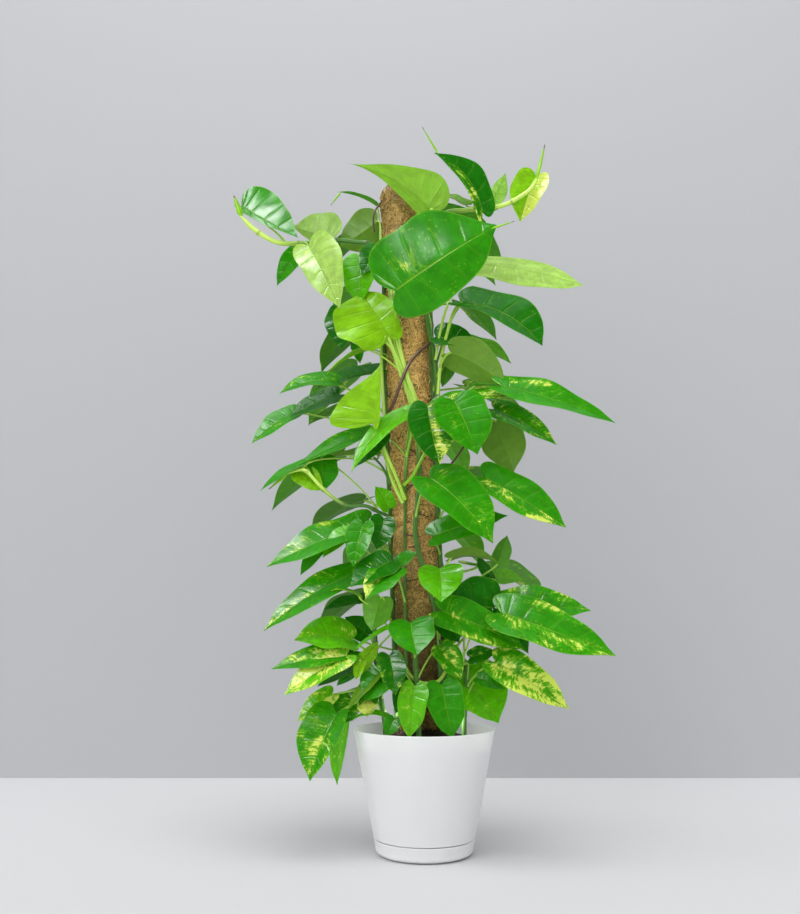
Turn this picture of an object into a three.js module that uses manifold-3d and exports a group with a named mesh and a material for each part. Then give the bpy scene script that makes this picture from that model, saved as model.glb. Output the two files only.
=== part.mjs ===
// Golden pothos climbing a coir pole, in a white tapered pot with a clip-on saucer.
// Millimetres, +Z up. The origin is the middle of the saucer's flat underside, the plant's front faces -Y
// and +X is to the right of someone who looks at that front.
import * as THREE from "three";
import { mergeVertices } from "three/addons/utils/BufferGeometryUtils.js";
import Module from "manifold-3d";

const wasm = await Module();
wasm.setup();

// ---------------------------------------------------------------------------------------------
// Driving dimensions

const GAP = 0.4; // air left between two separate pieces

const ROUND_SEGMENTS = 28;
const WALL_FOOT_Z = 9; // where the rounded foot of pot and saucer meets the straight wall
const SAUCER = {
  height: 20,
  footR: 54,
  wall: 1.9,
  floor: 2.4,
  // the rounded foot outside and inside, as [past the foot's radius, height]
  roundOut: [[5, 1.2], [7.4, 4.4]],
  roundIn: [[5, 5.2], [1.6, 2.9]],
};
const POT = {
  rimR: 91,
  rimZ: 154,
  lip: 1.2,
  taper: 0.198,
  wall: 2.6,
  floor: 2.8,
  floorZ: SAUCER.floor + GAP,
  setIn: 2.6, // of the foot that stands in the saucer
  footR: 53,
  round: [57.4, 6.2], // [radius, height] on the rounded foot
  insideR: 52,
  insideStepZ: [16, 27],
};
const DRAIN = { count: 4, ringR: 34, holeR: 2.2 };

const SOIL = {
  heapZ: 168,
  edgeZ: 131,
  heapR: 46,
  footR: 50,
  round: [56.5, 18],
  shoulderZ: 29,
  rings: [68, 52, 38],
};

const POLE = {
  sleeveR: 29,
  stakeR: 9,
  topZ: 892,
  sleeveFootZ: 42,
  pivotZ: 100,
  leanPerMm: 0.036,
  lumpZ: [150, 300, 450, 600, 750],
  lump: 1.2,
  domeDrop: 22,
  crown: [0.8, 7], // share of the radius, drop from the top
  cap: 28, // coir over the end of the stake
};
const POLE_LEAN = Math.atan(POLE.leanPerMm);

const STEM_R = 3.4; // climbing stems
const BRANCH = { radius: 2.4, steps: 10 };
const STEM_CLEAR = 1.8; // between a climbing stem and the coir
const STEM_HOLE = 1.4; // round a stem in the soil
const DRIP_R = 1.8; // long thin leaf tip
const BURIED_Z = 96; // where the stems end below the soil
const BLADE_THICK = 1.0;

// Leaf ends are given as sighted from this point in front of the plant: across and up on the plane of the pole,
// and how far in front of that plane they are. A leaf then keeps its place in the front view at any depth.
const SIGHTING = { x: -31, y: -1324, z: 304 };

function sighted([across, up, forward]) {
  const nearer = 1 + forward / SIGHTING.y;
  return new THREE.Vector3(
    SIGHTING.x + (across - SIGHTING.x) * nearer,
    -forward,
    SIGHTING.z + (up - SIGHTING.z) * nearer,
  );
}

// ---------------------------------------------------------------------------------------------
// Solids from geometries

/** A closed three.js geometry as a manifold solid that faces outwards. */
function solidFrom(geometry) {
  const bare = geometry.clone();
  for (const name of ["normal", "uv"]) {
    if (bare.hasAttribute(name)) bare.deleteAttribute(name);
  }
  const merged = mergeVertices(bare, 1e-3);
  const corners = merged.index.array;
  const kept = [];
  for (let i = 0; i < corners.length; i += 3) {
    const [a, b, c] = [corners[i], corners[i + 1], corners[i + 2]];
    if (a !== b && b !== c && a !== c) kept.push([a, b, c]);
  }
  const make = (triangles) =>
    new wasm.Manifold(
      new wasm.Mesh({
        numProp: 3,
        vertProperties: merged.attributes.position.array,
        triVerts: new Uint32Array(triangles.flat()),
      }),
    );
  const solid = make(kept);
  return solid.volume() < 0 ? make(kept.map(([a, b, c]) => [a, c, b])) : solid;
}

/** A manifold solid as a plain three.js geometry. */
function geometryFrom(solid) {
  const mesh = solid.getMesh();
  return new THREE.BufferGeometry()
    .setAttribute("position", new THREE.BufferAttribute(new Float32Array(mesh.vertProperties), 3))
    .setIndex(new THREE.BufferAttribute(new Uint32Array(mesh.triVerts), 1));
}

/** A turned solid about +Z from a profile of [radius, height] points that closes on itself or on the axis. */
function turned(profile, segments = ROUND_SEGMENTS) {
  const points = profile.map(([r, z]) => new THREE.Vector2(r, z));
  return new THREE.LatheGeometry(points, segments).rotateX(Math.PI / 2);
}

/** A solid tube with a regular section along a curve. */
function tubeAlong(curve, radius, sides, steps) {
  const corners = Array.from({ length: sides }, (_, i) => {
    const turn = (2 * Math.PI * i) / sides;
    return new THREE.Vector2(radius * Math.cos(turn), radius * Math.sin(turn));
  });
  const section = new THREE.Shape(corners);
  return solidFrom(new THREE.ExtrudeGeometry(section, { steps, extrudePath: curve, bevelEnabled: false }));
}

// ---------------------------------------------------------------------------------------------
// Holder: pot, saucer, soil, pole

/** The straight outer wall that the pot and its saucer share. */
const wallR = (z) => POT.rimR - POT.taper * (POT.rimZ - z);
const potInnerR = (z) => wallR(z) - POT.wall;

/** The pot's own foot is set in, so that the saucer clips on flush with the wall above it. */
function makePot() {
  const { rimR, rimZ, lip, floorZ, setIn, footR, round, insideR } = POT;
  const stepZ = SAUCER.height + GAP;
  const insideFloorZ = floorZ + POT.floor;
  const [insideLowZ, insideHighZ] = POT.insideStepZ;
  const shell = solidFrom(
    turned([
      [0, floorZ],
      [footR, floorZ],
      round,
      [wallR(WALL_FOOT_Z) - setIn, WALL_FOOT_Z],
      [wallR(stepZ) - setIn, stepZ],
      [wallR(stepZ), stepZ],
      [wallR(rimZ - lip), rimZ - lip],
      [rimR - lip, rimZ],
      [potInnerR(rimZ), rimZ],
      [potInnerR(insideHighZ), insideHighZ],
      [potInnerR(insideLowZ) - setIn, insideLowZ],
      [insideR, insideFloorZ],
      [0, insideFloorZ],
    ]),
  );
  const drains = Array.from({ length: DRAIN.count }, (_, i) => {
    const turn = (2 * Math.PI * i) / DRAIN.count;
    const hole = new THREE.CylinderGeometry(DRAIN.holeR, DRAIN.holeR, 4 * POT.floor, 5).rotateX(Math.PI / 2);
    hole.translate(DRAIN.ringR * Math.cos(turn), DRAIN.ringR * Math.sin(turn), POT.floorZ + POT.floor / 2);
    return solidFrom(hole);
  });
  return shell.subtract(wasm.Manifold.union(drains));
}

function makeSaucer() {
  const { height, footR, wall, floor, roundOut, roundIn } = SAUCER;
  const pastFoot = ([past, z]) => [footR + past, z];
  return solidFrom(
    turned([
      [0, 0],
      [footR, 0],
      ...roundOut.map(pastFoot),
      [wallR(WALL_FOOT_Z), WALL_FOOT_Z],
      [wallR(height), height],
      [wallR(height) - wall, height],
      [wallR(WALL_FOOT_Z) - wall, WALL_FOOT_Z],
      ...roundIn.map(pastFoot),
      [footR - 1, floor],
      [0, floor],
    ]),
  );
}

const soilTopZ = (r) => SOIL.edgeZ + (SOIL.heapZ - SOIL.edgeZ) * Math.exp(-((r / SOIL.heapR) ** 2));

/** The potting soil, heaped round the pole, with a plain hole for the pole and for each stem. */
function makeSoil(stemHoles) {
  const { heapZ, edgeZ, footR, round, shoulderZ, rings } = SOIL;
  const footZ = POT.floorZ + POT.floor + GAP;
  const body = solidFrom(
    turned([
      [0, footZ],
      [footR, footZ],
      round,
      [potInnerR(shoulderZ) - 2 * GAP, shoulderZ],
      [potInnerR(edgeZ) - GAP, edgeZ],
      ...rings.map((r) => [r, soilTopZ(r)]),
      [0, heapZ],
    ]),
  );
  const bore = (radius, fromZ, depth) =>
    solidFrom(
      new THREE.CylinderGeometry(radius, radius, depth, 12)
        .rotateX(Math.PI / 2)
        .translate(0, 0, fromZ + depth / 2 - POLE.pivotZ)
        .rotateY(-POLE_LEAN)
        .translate(0, 0, POLE.pivotZ),
    );
  const poleHoles = [
    bore(POLE.stakeR + 1, footZ - 2, heapZ),
    bore(POLE.sleeveR * 1.06, POLE.sleeveFootZ - GAP, heapZ),
  ];
  return body.subtract(wasm.Manifold.union([...poleHoles, ...stemHoles]));
}

/** A point at a height on the pole's leaning axis. */
const onAxis = (z) => new THREE.Vector3(-POLE.leanPerMm * (z - POLE.pivotZ), 0, z);

/** Coir wrapped round the stake: a blind sleeve with a domed top and a slightly lumpy side. */
function makeSleeve() {
  const { sleeveR, stakeR, topZ, sleeveFootZ, pivotZ, lumpZ, lump, domeDrop, crown, cap } = POLE;
  const boreR = stakeR + GAP;
  const profile = [
    [boreR, sleeveFootZ],
    [sleeveR - 2, sleeveFootZ],
    ...lumpZ.map((z, i) => [sleeveR - (i % 2 ? 0 : lump), z]),
    [sleeveR - 1, topZ - domeDrop],
    [sleeveR * crown[0], topZ - crown[1]],
    [0, topZ],
    [0, topZ - cap],
    [boreR, topZ - cap],
    [boreR, sleeveFootZ],
  ];
  return turned(profile, 18).translate(0, 0, -pivotZ);
}

function makeStake() {
  const footZ = POT.floorZ + POT.floor + 1;
  const length = POLE.topZ - POLE.cap - 2 - footZ;
  return new THREE.CylinderGeometry(POLE.stakeR - GAP, POLE.stakeR - GAP, length, 12)
    .rotateX(Math.PI / 2)
    .translate(0, 0, footZ + length / 2 - POLE.pivotZ);
}

// ---------------------------------------------------------------------------------------------
// Stems

/** A point on the middle of a stem that climbs the pole, at a bearing from the front (+ is to the right). */
function climbing([bearing, z], radius) {
  const turn = THREE.MathUtils.degToRad(bearing);
  const reach = POLE.sleeveR + STEM_CLEAR + radius;
  return onAxis(z).add(new THREE.Vector3(reach * Math.sin(turn), -reach * Math.cos(turn), 0));
}

const free = ([x, y, z]) => new THREE.Vector3(x, y, z);

// Each stem: the points it climbs through as [bearing, height] and then the sighted points of the shoot that
// leaves the pole, or the plain points of a free young stem. Steps are the straight pieces of its tube.
const STEMS = {
  left: {
    climbs: [[-80, 175], [-86, 300], [-78, 430], [-88, 560], [-80, 680], [-70, 765]],
    shoot: [
      [-70, 803, 26], [-95, 808, 28], [-120, 810, 30], [-165, 806, 34], [-200, 807, 38], [-232, 825, 42],
      [-254, 847, 44],
    ],
    bud: { to: [-263, 876, 46], radius: 4.4 },
    branch: [
      [-45, 427, 26], [-60, 433, 30], [-77, 441, 36], [-100, 441, 42], [-120, 452, 46], [-140, 470, 48],
      [-160, 489, 48], [-184, 483, 46],
    ],
    branchBud: { to: [-206, 463, 44], radius: 2.4 },
    steps: 26,
  },
  front_left: {
    climbs: [[-32, 175], [-27, 300], [-24, 430], [-27, 560], [-36, 680], [-30, 790]],
    radius: 5,
    steps: 14,
  },
  front: {
    climbs: [[46, 175], [42, 300], [18, 348], [-1, 400], [6, 440], [14, 475], [12, 530], [10, 556]],
    steps: 16,
  },
  front_right: {
    climbs: [[82, 175], [78, 300], [68, 420], [66, 520], [68, 620], [64, 700]],
    steps: 13,
  },
  right: {
    climbs: [[118, 175], [112, 300], [104, 430], [102, 560], [100, 690], [86, 790]],
    shoot: [
      [30, 848, 22], [60, 854, 16], [90, 857, 13], [112, 861, 13], [132, 871, 15], [150, 884, 18],
      [161, 900, 20],
    ],
    bud: { to: [173, 952, 17], radius: 2.9 },
    steps: 26,
  },
  back_left: { climbs: [[-128, 175], [-134, 400], [-128, 600], [-134, 800], [-130, 850]], steps: 13 },
  back_right: { climbs: [[155, 175], [160, 400], [152, 600], [158, 800], [155, 850]], steps: 13 },
  low_left: {
    rises: [[-50, -30, 96], [-50, -30, 160], [-56, -31, 200], [-62, -27, 250], [-64, -21, 292]],
    steps: 8,
  },
  low_front: {
    rises: [[-8, -58, 96], [-8, -58, 165], [-10, -56, 200], [-12, -54, 245], [-14, -52, 274]],
    steps: 8,
  },
  low_right: { rises: [[50, -26, 96], [50, -26, 165], [53, -27, 200], [55, -25, 240]], steps: 7 },
  low_back: { rises: [[0, 56, 96], [0, 56, 165], [-4, 58, 220], [-2, 60, 262]], steps: 7 },
};

/** The middle line of a stem: straight up out of the soil, then along its own points. */
function stemLine({ climbs = [], shoot = [], rises = [], radius = STEM_R }) {
  const points = [...climbs.map((at) => climbing(at, radius)), ...shoot.map(sighted), ...rises.map(free)];
  if (climbs.length) {
    const foot = points[0].clone().setZ(BURIED_Z);
    points.unshift(foot, foot.clone().setZ(BURIED_Z + 40));
  }
  return new THREE.CatmullRomCurve3(points, false, "centripetal");
}

// Outline of a rolled young leaf, as [share of its radius, share of its length].
const BUD_OUTLINE = [[0, 0], [1, 0.2], [0.8, 0.5], [0, 1]];

/** A rolled young leaf at the end of a shoot. */
function bud(from, to, radius) {
  const along = to.clone().sub(from);
  const length = along.length();
  const shape = turned(BUD_OUTLINE.map(([r, z]) => [r * radius, z * length]), 6);
  const turn = new THREE.Quaternion().setFromUnitVectors(new THREE.Vector3(0, 0, 1), along.normalize());
  return solidFrom(shape.applyQuaternion(turn).translate(from.x, from.y, from.z));
}

/** What the soil leaves free round a stem. */
function stemHole(line, radius = STEM_R) {
  const foot = line.getPoint(0);
  const holeR = radius + STEM_HOLE;
  const depth = 120;
  const hole = new THREE.CylinderGeometry(holeR, holeR, depth, 6).rotateX(Math.PI / 2);
  return solidFrom(hole.translate(foot.x, foot.y, BURIED_Z - GAP + depth / 2));
}

// ---------------------------------------------------------------------------------------------
// Leaves

// Heart-shaped outline of half a blade: share of the length, share of the half width, from lobe to tip. Longer
// blades have more points.
const OUTLINES = [
  {
    longerThan: 125,
    midrib: [0, 0.16, 0.45, 0.72, 0.9],
    margin: [[-0.1, 0.4], [-0.02, 0.82], [0.18, 1], [0.45, 0.92], [0.72, 0.52], [0.9, 0.16]],
  },
  {
    longerThan: 72,
    midrib: [0, 0.22, 0.56, 0.83],
    margin: [[-0.1, 0.42], [0.01, 0.88], [0.22, 1], [0.56, 0.8], [0.83, 0.3]],
  },
  {
    longerThan: 46,
    midrib: [0, 0.38, 0.74],
    margin: [[-0.09, 0.46], [0.06, 0.94], [0.38, 1], [0.74, 0.48]],
  },
  {
    longerThan: 0,
    midrib: [0, 0.58],
    margin: [[-0.06, 0.55], [0.16, 1], [0.58, 0.8]],
  },
];
const outlineFor = (length) => OUTLINES.find(({ longerThan }) => length > longerThan);

/** A repeatable number from 0 to 1 for each whole number. */
const scatter = (n) => {
  const s = Math.sin(n * 12.9898) * 43758.5453;
  return s - Math.floor(s);
};

/** Which point of the midrib each margin point is joined to: the first two lie beside the leaf's foot. */
const ribBeside = (i) => Math.max(0, i - 1);

/**
 * The curved sheet of a blade. It returns place(share of length, share of half width), a point of the sheet,
 * and above(share of length), the direction its upper face looks there.
 */
function bladeSheet(leaf) {
  const { foot, tip, face, curl = 20, fold = 18, wave = 0.03, late = 1 } = leaf;
  const phase = scatter(Math.round(foot[0] + 3 * foot[1]));
  const halves = leaf.halves ?? [leaf.width / 2, leaf.width / 2];
  const start = sighted(foot);
  const chord = sighted(tip).sub(start);
  const length = chord.length();
  const along = chord.normalize();
  const up = new THREE.Vector3(face[0], -face[1], face[2]);
  up.addScaledVector(along, -up.dot(along)).normalize();
  const side = new THREE.Vector3().crossVectors(up, along);
  const bend = THREE.MathUtils.degToRad(curl || 0.1);
  const bendR = length / (2 * Math.sin(bend / 2));
  const rise = THREE.MathUtils.degToRad(fold);
  const above = (u) => {
    const t = bend * (u - 0.5);
    return along.clone().multiplyScalar(Math.sin(t)).addScaledVector(up, Math.cos(t));
  };
  const place = (share, v) => {
    const u = share > 0 ? share ** late : share;
    const t = bend * (u - 0.5);
    const half = v > 0 ? halves[0] : halves[1];
    const swing = Math.sin(2 * Math.PI * (1.4 * u + phase) + (v > 0 ? 2 : 0));
    const ripple = 2 * wave * half * v * v * swing;
    const height = half * (Math.abs(v) - 0.35 * v * v) * Math.sin(rise) + ripple;
    return start
      .clone()
      .addScaledVector(along, bendR * (Math.sin(t) + Math.sin(bend / 2)))
      .addScaledVector(up, bendR * (Math.cos(t) - Math.cos(bend / 2)))
      .addScaledVector(side, v * half * Math.cos(rise))
      .addScaledVector(above(u), height);
  };
  return { place, above, length, start, along };
}

/** A blade as a thin solid, with the same triangles on both faces. */
function blade(leaf) {
  const sheet = bladeSheet(leaf);
  const { midrib, margin } = outlineFor(sheet.length);
  const flat = [...midrib.map((u) => [u, 0]), [1, 0]];
  const tip = midrib.length;
  const rim = { 1: [], [-1]: [] };
  for (const sign of [1, -1]) {
    for (const [u, v] of margin) {
      rim[sign].push(flat.length);
      flat.push([u, sign * v]);
    }
  }
  const triangles = [];
  for (const sign of [1, -1]) {
    const add = (a, b, c) => triangles.push(sign > 0 ? [a, b, c] : [a, c, b]);
    for (let i = 0; i < margin.length; i++) {
      const here = ribBeside(i);
      const next = i + 1 < margin.length ? rim[sign][i + 1] : tip;
      add(here, next, rim[sign][i]);
      const nextRib = i + 1 < margin.length ? ribBeside(i + 1) : tip;
      if (nextRib !== here && nextRib !== next) add(here, nextRib, next);
    }
  }
  const count = flat.length;
  const positions = [];
  for (const lift of [0.5, -0.5]) {
    for (const [u, v] of flat) {
      const point = sheet.place(u, v).addScaledVector(sheet.above(u), lift * BLADE_THICK);
      positions.push(point.x, point.y, point.z);
    }
  }
  const border = [0, ...rim[1], tip, ...[...rim[-1]].reverse()];
  const index = [];
  for (const [a, b, c] of triangles) index.push(a, b, c, a + count, c + count, b + count);
  border.forEach((a, i) => {
    const b = border[(i + 1) % border.length];
    index.push(a, b, b + count, a, b + count, a + count);
  });
  const geometry = new THREE.BufferGeometry();
  geometry.setAttribute("position", new THREE.Float32BufferAttribute(positions, 3));
  geometry.setIndex(index);
  return solidFrom(geometry);
}

// rise is the share of the reach that a stalk climbs, between the least and the most. Meets is where on the
// midrib it ends, and blunt is the length of its point. The rest are shares of the span that pull its curve.
const PETIOLE = {
  rise: 0.55,
  leastRise: 12,
  mostRise: 85,
  meets: 0.07,
  blunt: 7,
  pullOut: 0.12,
  pullUp: 0.28,
  pullEnd: 0.24,
  fromBelow: 0.9,
};

/** Points along the middle of a stem's tube, which runs straight from step to step. */
function straightSamples(line, steps) {
  const joints = line.getSpacedPoints(steps);
  const samples = [];
  for (let i = 0; i < steps; i++) {
    for (let k = 0; k < 8; k++) samples.push(joints[i].clone().lerp(joints[i + 1], k / 8));
  }
  return samples;
}

/** The nearest sampled point of a stem to a given point. */
function nearestOn(samples, point) {
  return samples.reduce((best, p) => (p.distanceTo(point) < best.distanceTo(point) ? p : best));
}

/** A three-sided stalk along a curve, which narrows to a point at the curve's end. */
function stalkSolid(curve, radius, rings) {
  const { normals, binormals } = curve.computeFrenetFrames(rings - 1, false);
  const blunt = 1 - PETIOLE.blunt / curve.getLength();
  const positions = [];
  const index = [0, 2, 1];
  for (let i = 0; i < rings; i++) {
    const centre = curve.getPointAt((blunt * i) / (rings - 1));
    for (let k = 0; k < 3; k++) {
      const turn = (2 * Math.PI * k) / 3;
      const corner = centre
        .clone()
        .addScaledVector(normals[i], radius * Math.cos(turn))
        .addScaledVector(binormals[i], radius * Math.sin(turn));
      positions.push(...corner.toArray());
    }
    for (let k = 0; k < 3; k++) {
      const [a, b] = [3 * i + k, 3 * i + ((k + 1) % 3)];
      if (i < rings - 1) index.push(a, b, b + 3, a, b + 3, a + 3);
      else index.push(a, b, 3 * rings);
    }
  }
  positions.push(...curve.getPoint(1).toArray());
  const geometry = new THREE.BufferGeometry();
  geometry.setAttribute("position", new THREE.Float32BufferAttribute(positions, 3));
  geometry.setIndex(index);
  return solidFrom(geometry);
}

/** The leaf stalk, from its stem to the blade's midrib: up and out, then over into the blade from below. */
function petiole(leaf, samples) {
  const { place, above, along, length } = bladeSheet(leaf);
  const firstRib = outlineFor(length).midrib[1];
  const end = place(0, 0).lerp(place(firstRib, 0), PETIOLE.meets / firstRib);
  let from;
  if (leaf.root) {
    from = nearestOn(samples, sighted(leaf.root));
  } else {
    const reach = Math.hypot(end.x - samples[0].x, end.y - samples[0].y);
    const drop = Math.min(PETIOLE.mostRise, Math.max(PETIOLE.leastRise, PETIOLE.rise * reach));
    const height = leaf.from ?? end.z - drop;
    from = samples.reduce((best, p) => (Math.abs(p.z - height) < Math.abs(best.z - height) ? p : best));
  }
  const span = end.distanceTo(from);
  const out = end.clone().sub(from).setZ(0).normalize();
  const arrives = along.clone().addScaledVector(above(0), PETIOLE.fromBelow).normalize();
  const curve = new THREE.CubicBezierCurve3(
    from,
    from.clone().addScaledVector(out, PETIOLE.pullOut * span).setZ(from.z + PETIOLE.pullUp * span),
    end.clone().addScaledVector(arrives, -PETIOLE.pullEnd * span),
    end,
  );
  const radius = leaf.stalk ?? Math.min(2.4, 1.2 + length / 130, span / 16);
  return stalkSolid(curve, radius, span > 60 ? 4 : 3);
}

// One row for each leaf, under the stem it grows on: the foot and tip of its blade as sighted, its full width
// or its left and right halves, and the way its upper face looks (right, forward, up). Curl bends the tip
// down, fold lifts the halves into a trough, and late under 1 makes the blade widest nearer its tip. The stalk
// starts on the stem at the height in from or nearest to root, and drip is the end of a long thin tip.
const LEAVES = {
  // the long shoots at the top left and lower left, and most of the left side
  left: [
    {
      foot: [-252, 860, 30], tip: [-172, 814, 54], halves: [44, 9], face: [-0.12, 1, 0.3], curl: 4, fold: 8,
      wave: 0.05, root: [-190, 806, 38],
    },
    {
      foot: [-124, 812, 8], tip: [-180, 830, 4], halves: [36, 12], face: [0.1, -1, 0.2],
      root: [-122, 810, 30],
    },
    { foot: [-166, 800, 4], tip: [-200, 745, 0], width: 34, face: [-0.3, 1, 0.2], root: [-150, 808, 34] },
    {
      foot: [-158, 803, 44], tip: [-113, 712, 66], halves: [38, 26], face: [-0.37, 1, 0.22], fold: 12,
      root: [-165, 806, 34],
    },
    { foot: [-70, 838, -4], tip: [-114, 800, -8], width: 54, face: [0.2, -1, 0.3], from: 760 },
    {
      foot: [-62, 860, -4], tip: [-117, 881, 8], width: 17, face: [0, 0.15, 1], curl: 34, fold: 30,
      from: 770,
    },
    { foot: [-116, 608, 24], tip: [-194, 593, 30], width: 44, face: [0, 0.8, 1], curl: 50, from: 560 },
    { foot: [-58, 626, 8], tip: [-145, 600, 14], width: 44, face: [0, 0.7, 1], from: 580 },
    { foot: [-114, 592, 0], tip: [-180, 561, 8], width: 46, face: [0, 0.9, 1], curl: 12, from: 535 },
    { foot: [-171, 569, -12], tip: [-230, 525, 2], width: 38, face: [-0.2, 1, 0.8], from: 515 },
    { foot: [-73, 540, 28], tip: [-164, 497, 40], width: 42, face: [0, 0.7, 1], from: 500 },
    { foot: [-60, 510, 4], tip: [-128, 506, 10], width: 22, face: [0, -0.2, 1], from: 485 },
    { foot: [-160, 498, 40], tip: [-217, 461, 46], width: 26, face: [0, 0.5, 1], root: [-150, 480, 48] },
    { foot: [-136, 505, 26], tip: [-134, 459, 34], width: 44, face: [0.3, 1, 0.3], root: [-60, 433, 30] },
    { foot: [-168, 489, 34], tip: [-132, 461, 38], width: 32, face: [0, 1, 0.3], root: [-160, 489, 48] },
    { foot: [-46, 438, 34], tip: [-64, 467, 36], width: 28, face: [0.4, 1, 0.2], from: 425 },
    { foot: [-76, 421, 32], tip: [-207, 360, 54], width: 58, face: [0, 1, 1], from: 365 },
    { foot: [-130, 396, 22], tip: [-162, 349, 28], width: 24, face: [0, 1, 0.6], from: 350 },
    { foot: [-78, 420, 58], tip: [-93, 357, 70], width: 42, face: [-0.2, 1, 0.4], from: 370 },
    { foot: [-98, 408, 48], tip: [-133, 372, 56], width: 28, face: [-0.2, 1, 0.8], from: 360 },
    { foot: [-52, 424, 42], tip: [-62, 383, 48], width: 36, face: [0, 1, 0.3], from: 385 },
    { foot: [-92, 352, 30], tip: [-209, 277, 50], width: 48, face: [0, 1, 1], from: 290 },
    { foot: [-84, 322, 48], tip: [-122, 329, 52], width: 18, face: [0, 0.2, 1], curl: 50, from: 285 },
    { foot: [-78, 318, 20], tip: [-131, 304, 26], width: 26, face: [0, 0.7, 1], from: 270 },
    { foot: [-56, 320, 40], tip: [-68, 277, 48], width: 40, face: [0, -1, 0.3], from: 270 },
  ],
  // the front, left of the pole's middle
  front_left: [
    { foot: [-84, 786, 34], tip: [-86, 718, 44], width: 50, face: [-0.3, 1, 0.5] },
    {
      foot: [-46, 671, 52], tip: [-84, 736, 40], halves: [52, 24], late: 0.62, face: [-0.1, 1, 0.5], curl: 26,
      fold: 12, wave: 0.07, from: 600, stalk: 3,
    },
    { foot: [-70, 655, 46], tip: [-131, 620, 56], width: 36, face: [0, 0.1, 1], curl: 34, from: 600 },
    { foot: [-106, 714, 14], tip: [-110, 655, 20], width: 56, face: [-0.5, 1, 0.1] },
    {
      foot: [-38, 737, 98], tip: [104, 832, 112], halves: [74, 50], late: 0.88, face: [-0.47, 1, -0.24],
      curl: 30, fold: -12, drip: [128, 838, 114], from: 660,
    },
    { foot: [-62, 800, 40], tip: [-83, 761, 50], width: 36, face: [-0.2, 1, 0.2] },
    { foot: [-92, 662, 20], tip: [-85, 635, 26], width: 16, face: [0, 1, 0.3] },
    {
      foot: [-66, 552, 66], tip: [-57, 637, 68], halves: [70, 9], face: [-0.3, 1, 0.22], curl: 20,
      from: 446, stalk: 3,
    },
    {
      foot: [-12, 571, 54], tip: [-96, 486, 76], halves: [17, 15], face: [-0.3, 0.9, 0.5], fold: 24,
      from: 500,
    },
    { foot: [-56, 538, 46], tip: [-92, 492, 62], width: 36, face: [-0.3, 1, 0.3], from: 500 },
    { foot: [-43, 368, 58], tip: [-96, 334, 80], width: 50, face: [-0.3, 1, 0.8], from: 310 },
    { foot: [-41, 358, 64], tip: [-76, 318, 98], halves: [26, 22], face: [-0.3, 1, 0.6], from: 310 },
    { foot: [-34, 365, 52], tip: [-9, 379, 58], width: 20, face: [0, 1, 0.6], from: 345 },
  ],
  // up the front of the pole
  front: [
    { foot: [42, 584, 90], tip: [73, 510, 104], width: 74, face: [0.1, 1, 0.5], from: 520 },
    { foot: [8, 577, 78], tip: [19, 494, 88], width: 62, face: [-0.1, 1, 0.15], from: 530 },
    {
      foot: [6, 481, 78], tip: [93, 391, 108], width: 84, face: [0.35, 1, 0.6], curl: 26, fold: 12,
      from: 420,
    },
    { foot: [21, 358, 64], tip: [23, 314, 100], width: 58, face: [0, 0.9, 1], from: 315 },
    { foot: [22, 303, 62], tip: [131, 252, 62], width: 50, face: [0, 1, 0.5], from: 262 },
    { foot: [20, 298, 40], tip: [46, 262, 46], width: 38, face: [0.1, 1, 0.4], from: 240 },
  ],
  // the right side, towards the front
  front_right: [
    { foot: [22, 668, 28], tip: [76, 662, 34], width: 46, face: [0.1, 1, 0.7], from: 640 },
    { foot: [37, 651, 42], tip: [112, 604, 54], halves: [20, 42], face: [0, -1, 0.7], from: 590 },
    { foot: [106, 604, 62], tip: [259, 553, 70], width: 58, face: [0, 1, 0.8], curl: 22, from: 540 },
    { foot: [28, 582, 50], tip: [126, 588, 66], width: 40, face: [0, 0.7, 1], curl: 26, from: 540 },
    { foot: [70, 605, 48], tip: [118, 600, 52], width: 18, face: [0, 0.1, 1], from: 560 },
    { foot: [96, 572, 42], tip: [179, 523, 62], width: 46, face: [0.2, 1, 0.8], from: 505 },
    { foot: [80, 480, 50], tip: [186, 414, 72], width: 62, face: [0.1, 1, 0.8], curl: 22, from: 420 },
    { foot: [14, 401, 44], tip: [112, 428, 52], width: 46, face: [0, 1, 0.7], from: 370 },
    { foot: [35, 372, 40], tip: [99, 364, 52], width: 34, face: [0, -0.4, 1], curl: 62, from: 330 },
    { foot: [93, 307, 44], tip: [24, 311, 50], halves: [8, 40], face: [0, 1, 0.3], from: 250 },
    { foot: [97, 306, 42], tip: [219, 303, 52], width: 58, face: [0, 1, 0.7], from: 245 },
    { foot: [100, 301, 66], tip: [250, 245, 88], width: 68, face: [0, 1, 0.7], curl: 16, from: 235 },
    { foot: [99, 298, 50], tip: [136, 248, 56], width: 34, face: [0, 1, 0.4], from: 230 },
  ],
  // the shoot at the top right and the right side behind it
  right: [
    {
      foot: [14, 852, 50], tip: [-108, 924, 66], halves: [50, 22], face: [0.1, -1, 0.3], fold: 18, curl: 12,
      root: [28, 846, 22],
    },
    {
      foot: [84, 850, 24], tip: [17, 939, 32], halves: [17, 27], late: 0.8, face: [0.4, 1, 0.2], fold: 20,
      curl: 10, drip: [0, 978, 34], root: [58, 853, 16],
    },
    { foot: [92, 862, 4], tip: [117, 908, -2], width: 30, face: [0.5, -1, 0.2], root: [84, 857, 13] },
    {
      foot: [160, 906, 32], tip: [134, 837, 26], width: 54, face: [-0.2, 1, 0.1], fold: 30,
      root: [150, 884, 18],
    },
    { foot: [62, 862, 0], tip: [26, 876, -12], width: 34, face: [0, 0.6, 1], root: [74, 856, 14] },
    {
      foot: [74, 776, -14], tip: [221, 745, 2], halves: [25, 25], late: 0.62, face: [0, 0.95, 0.45], curl: 10,
      fold: -14, from: 706,
    },
    {
      foot: [54, 722, 30], tip: [163, 660, 52], halves: [42, 28], late: 0.5, face: [0.1, 0.9, 0.8], curl: 30,
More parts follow.
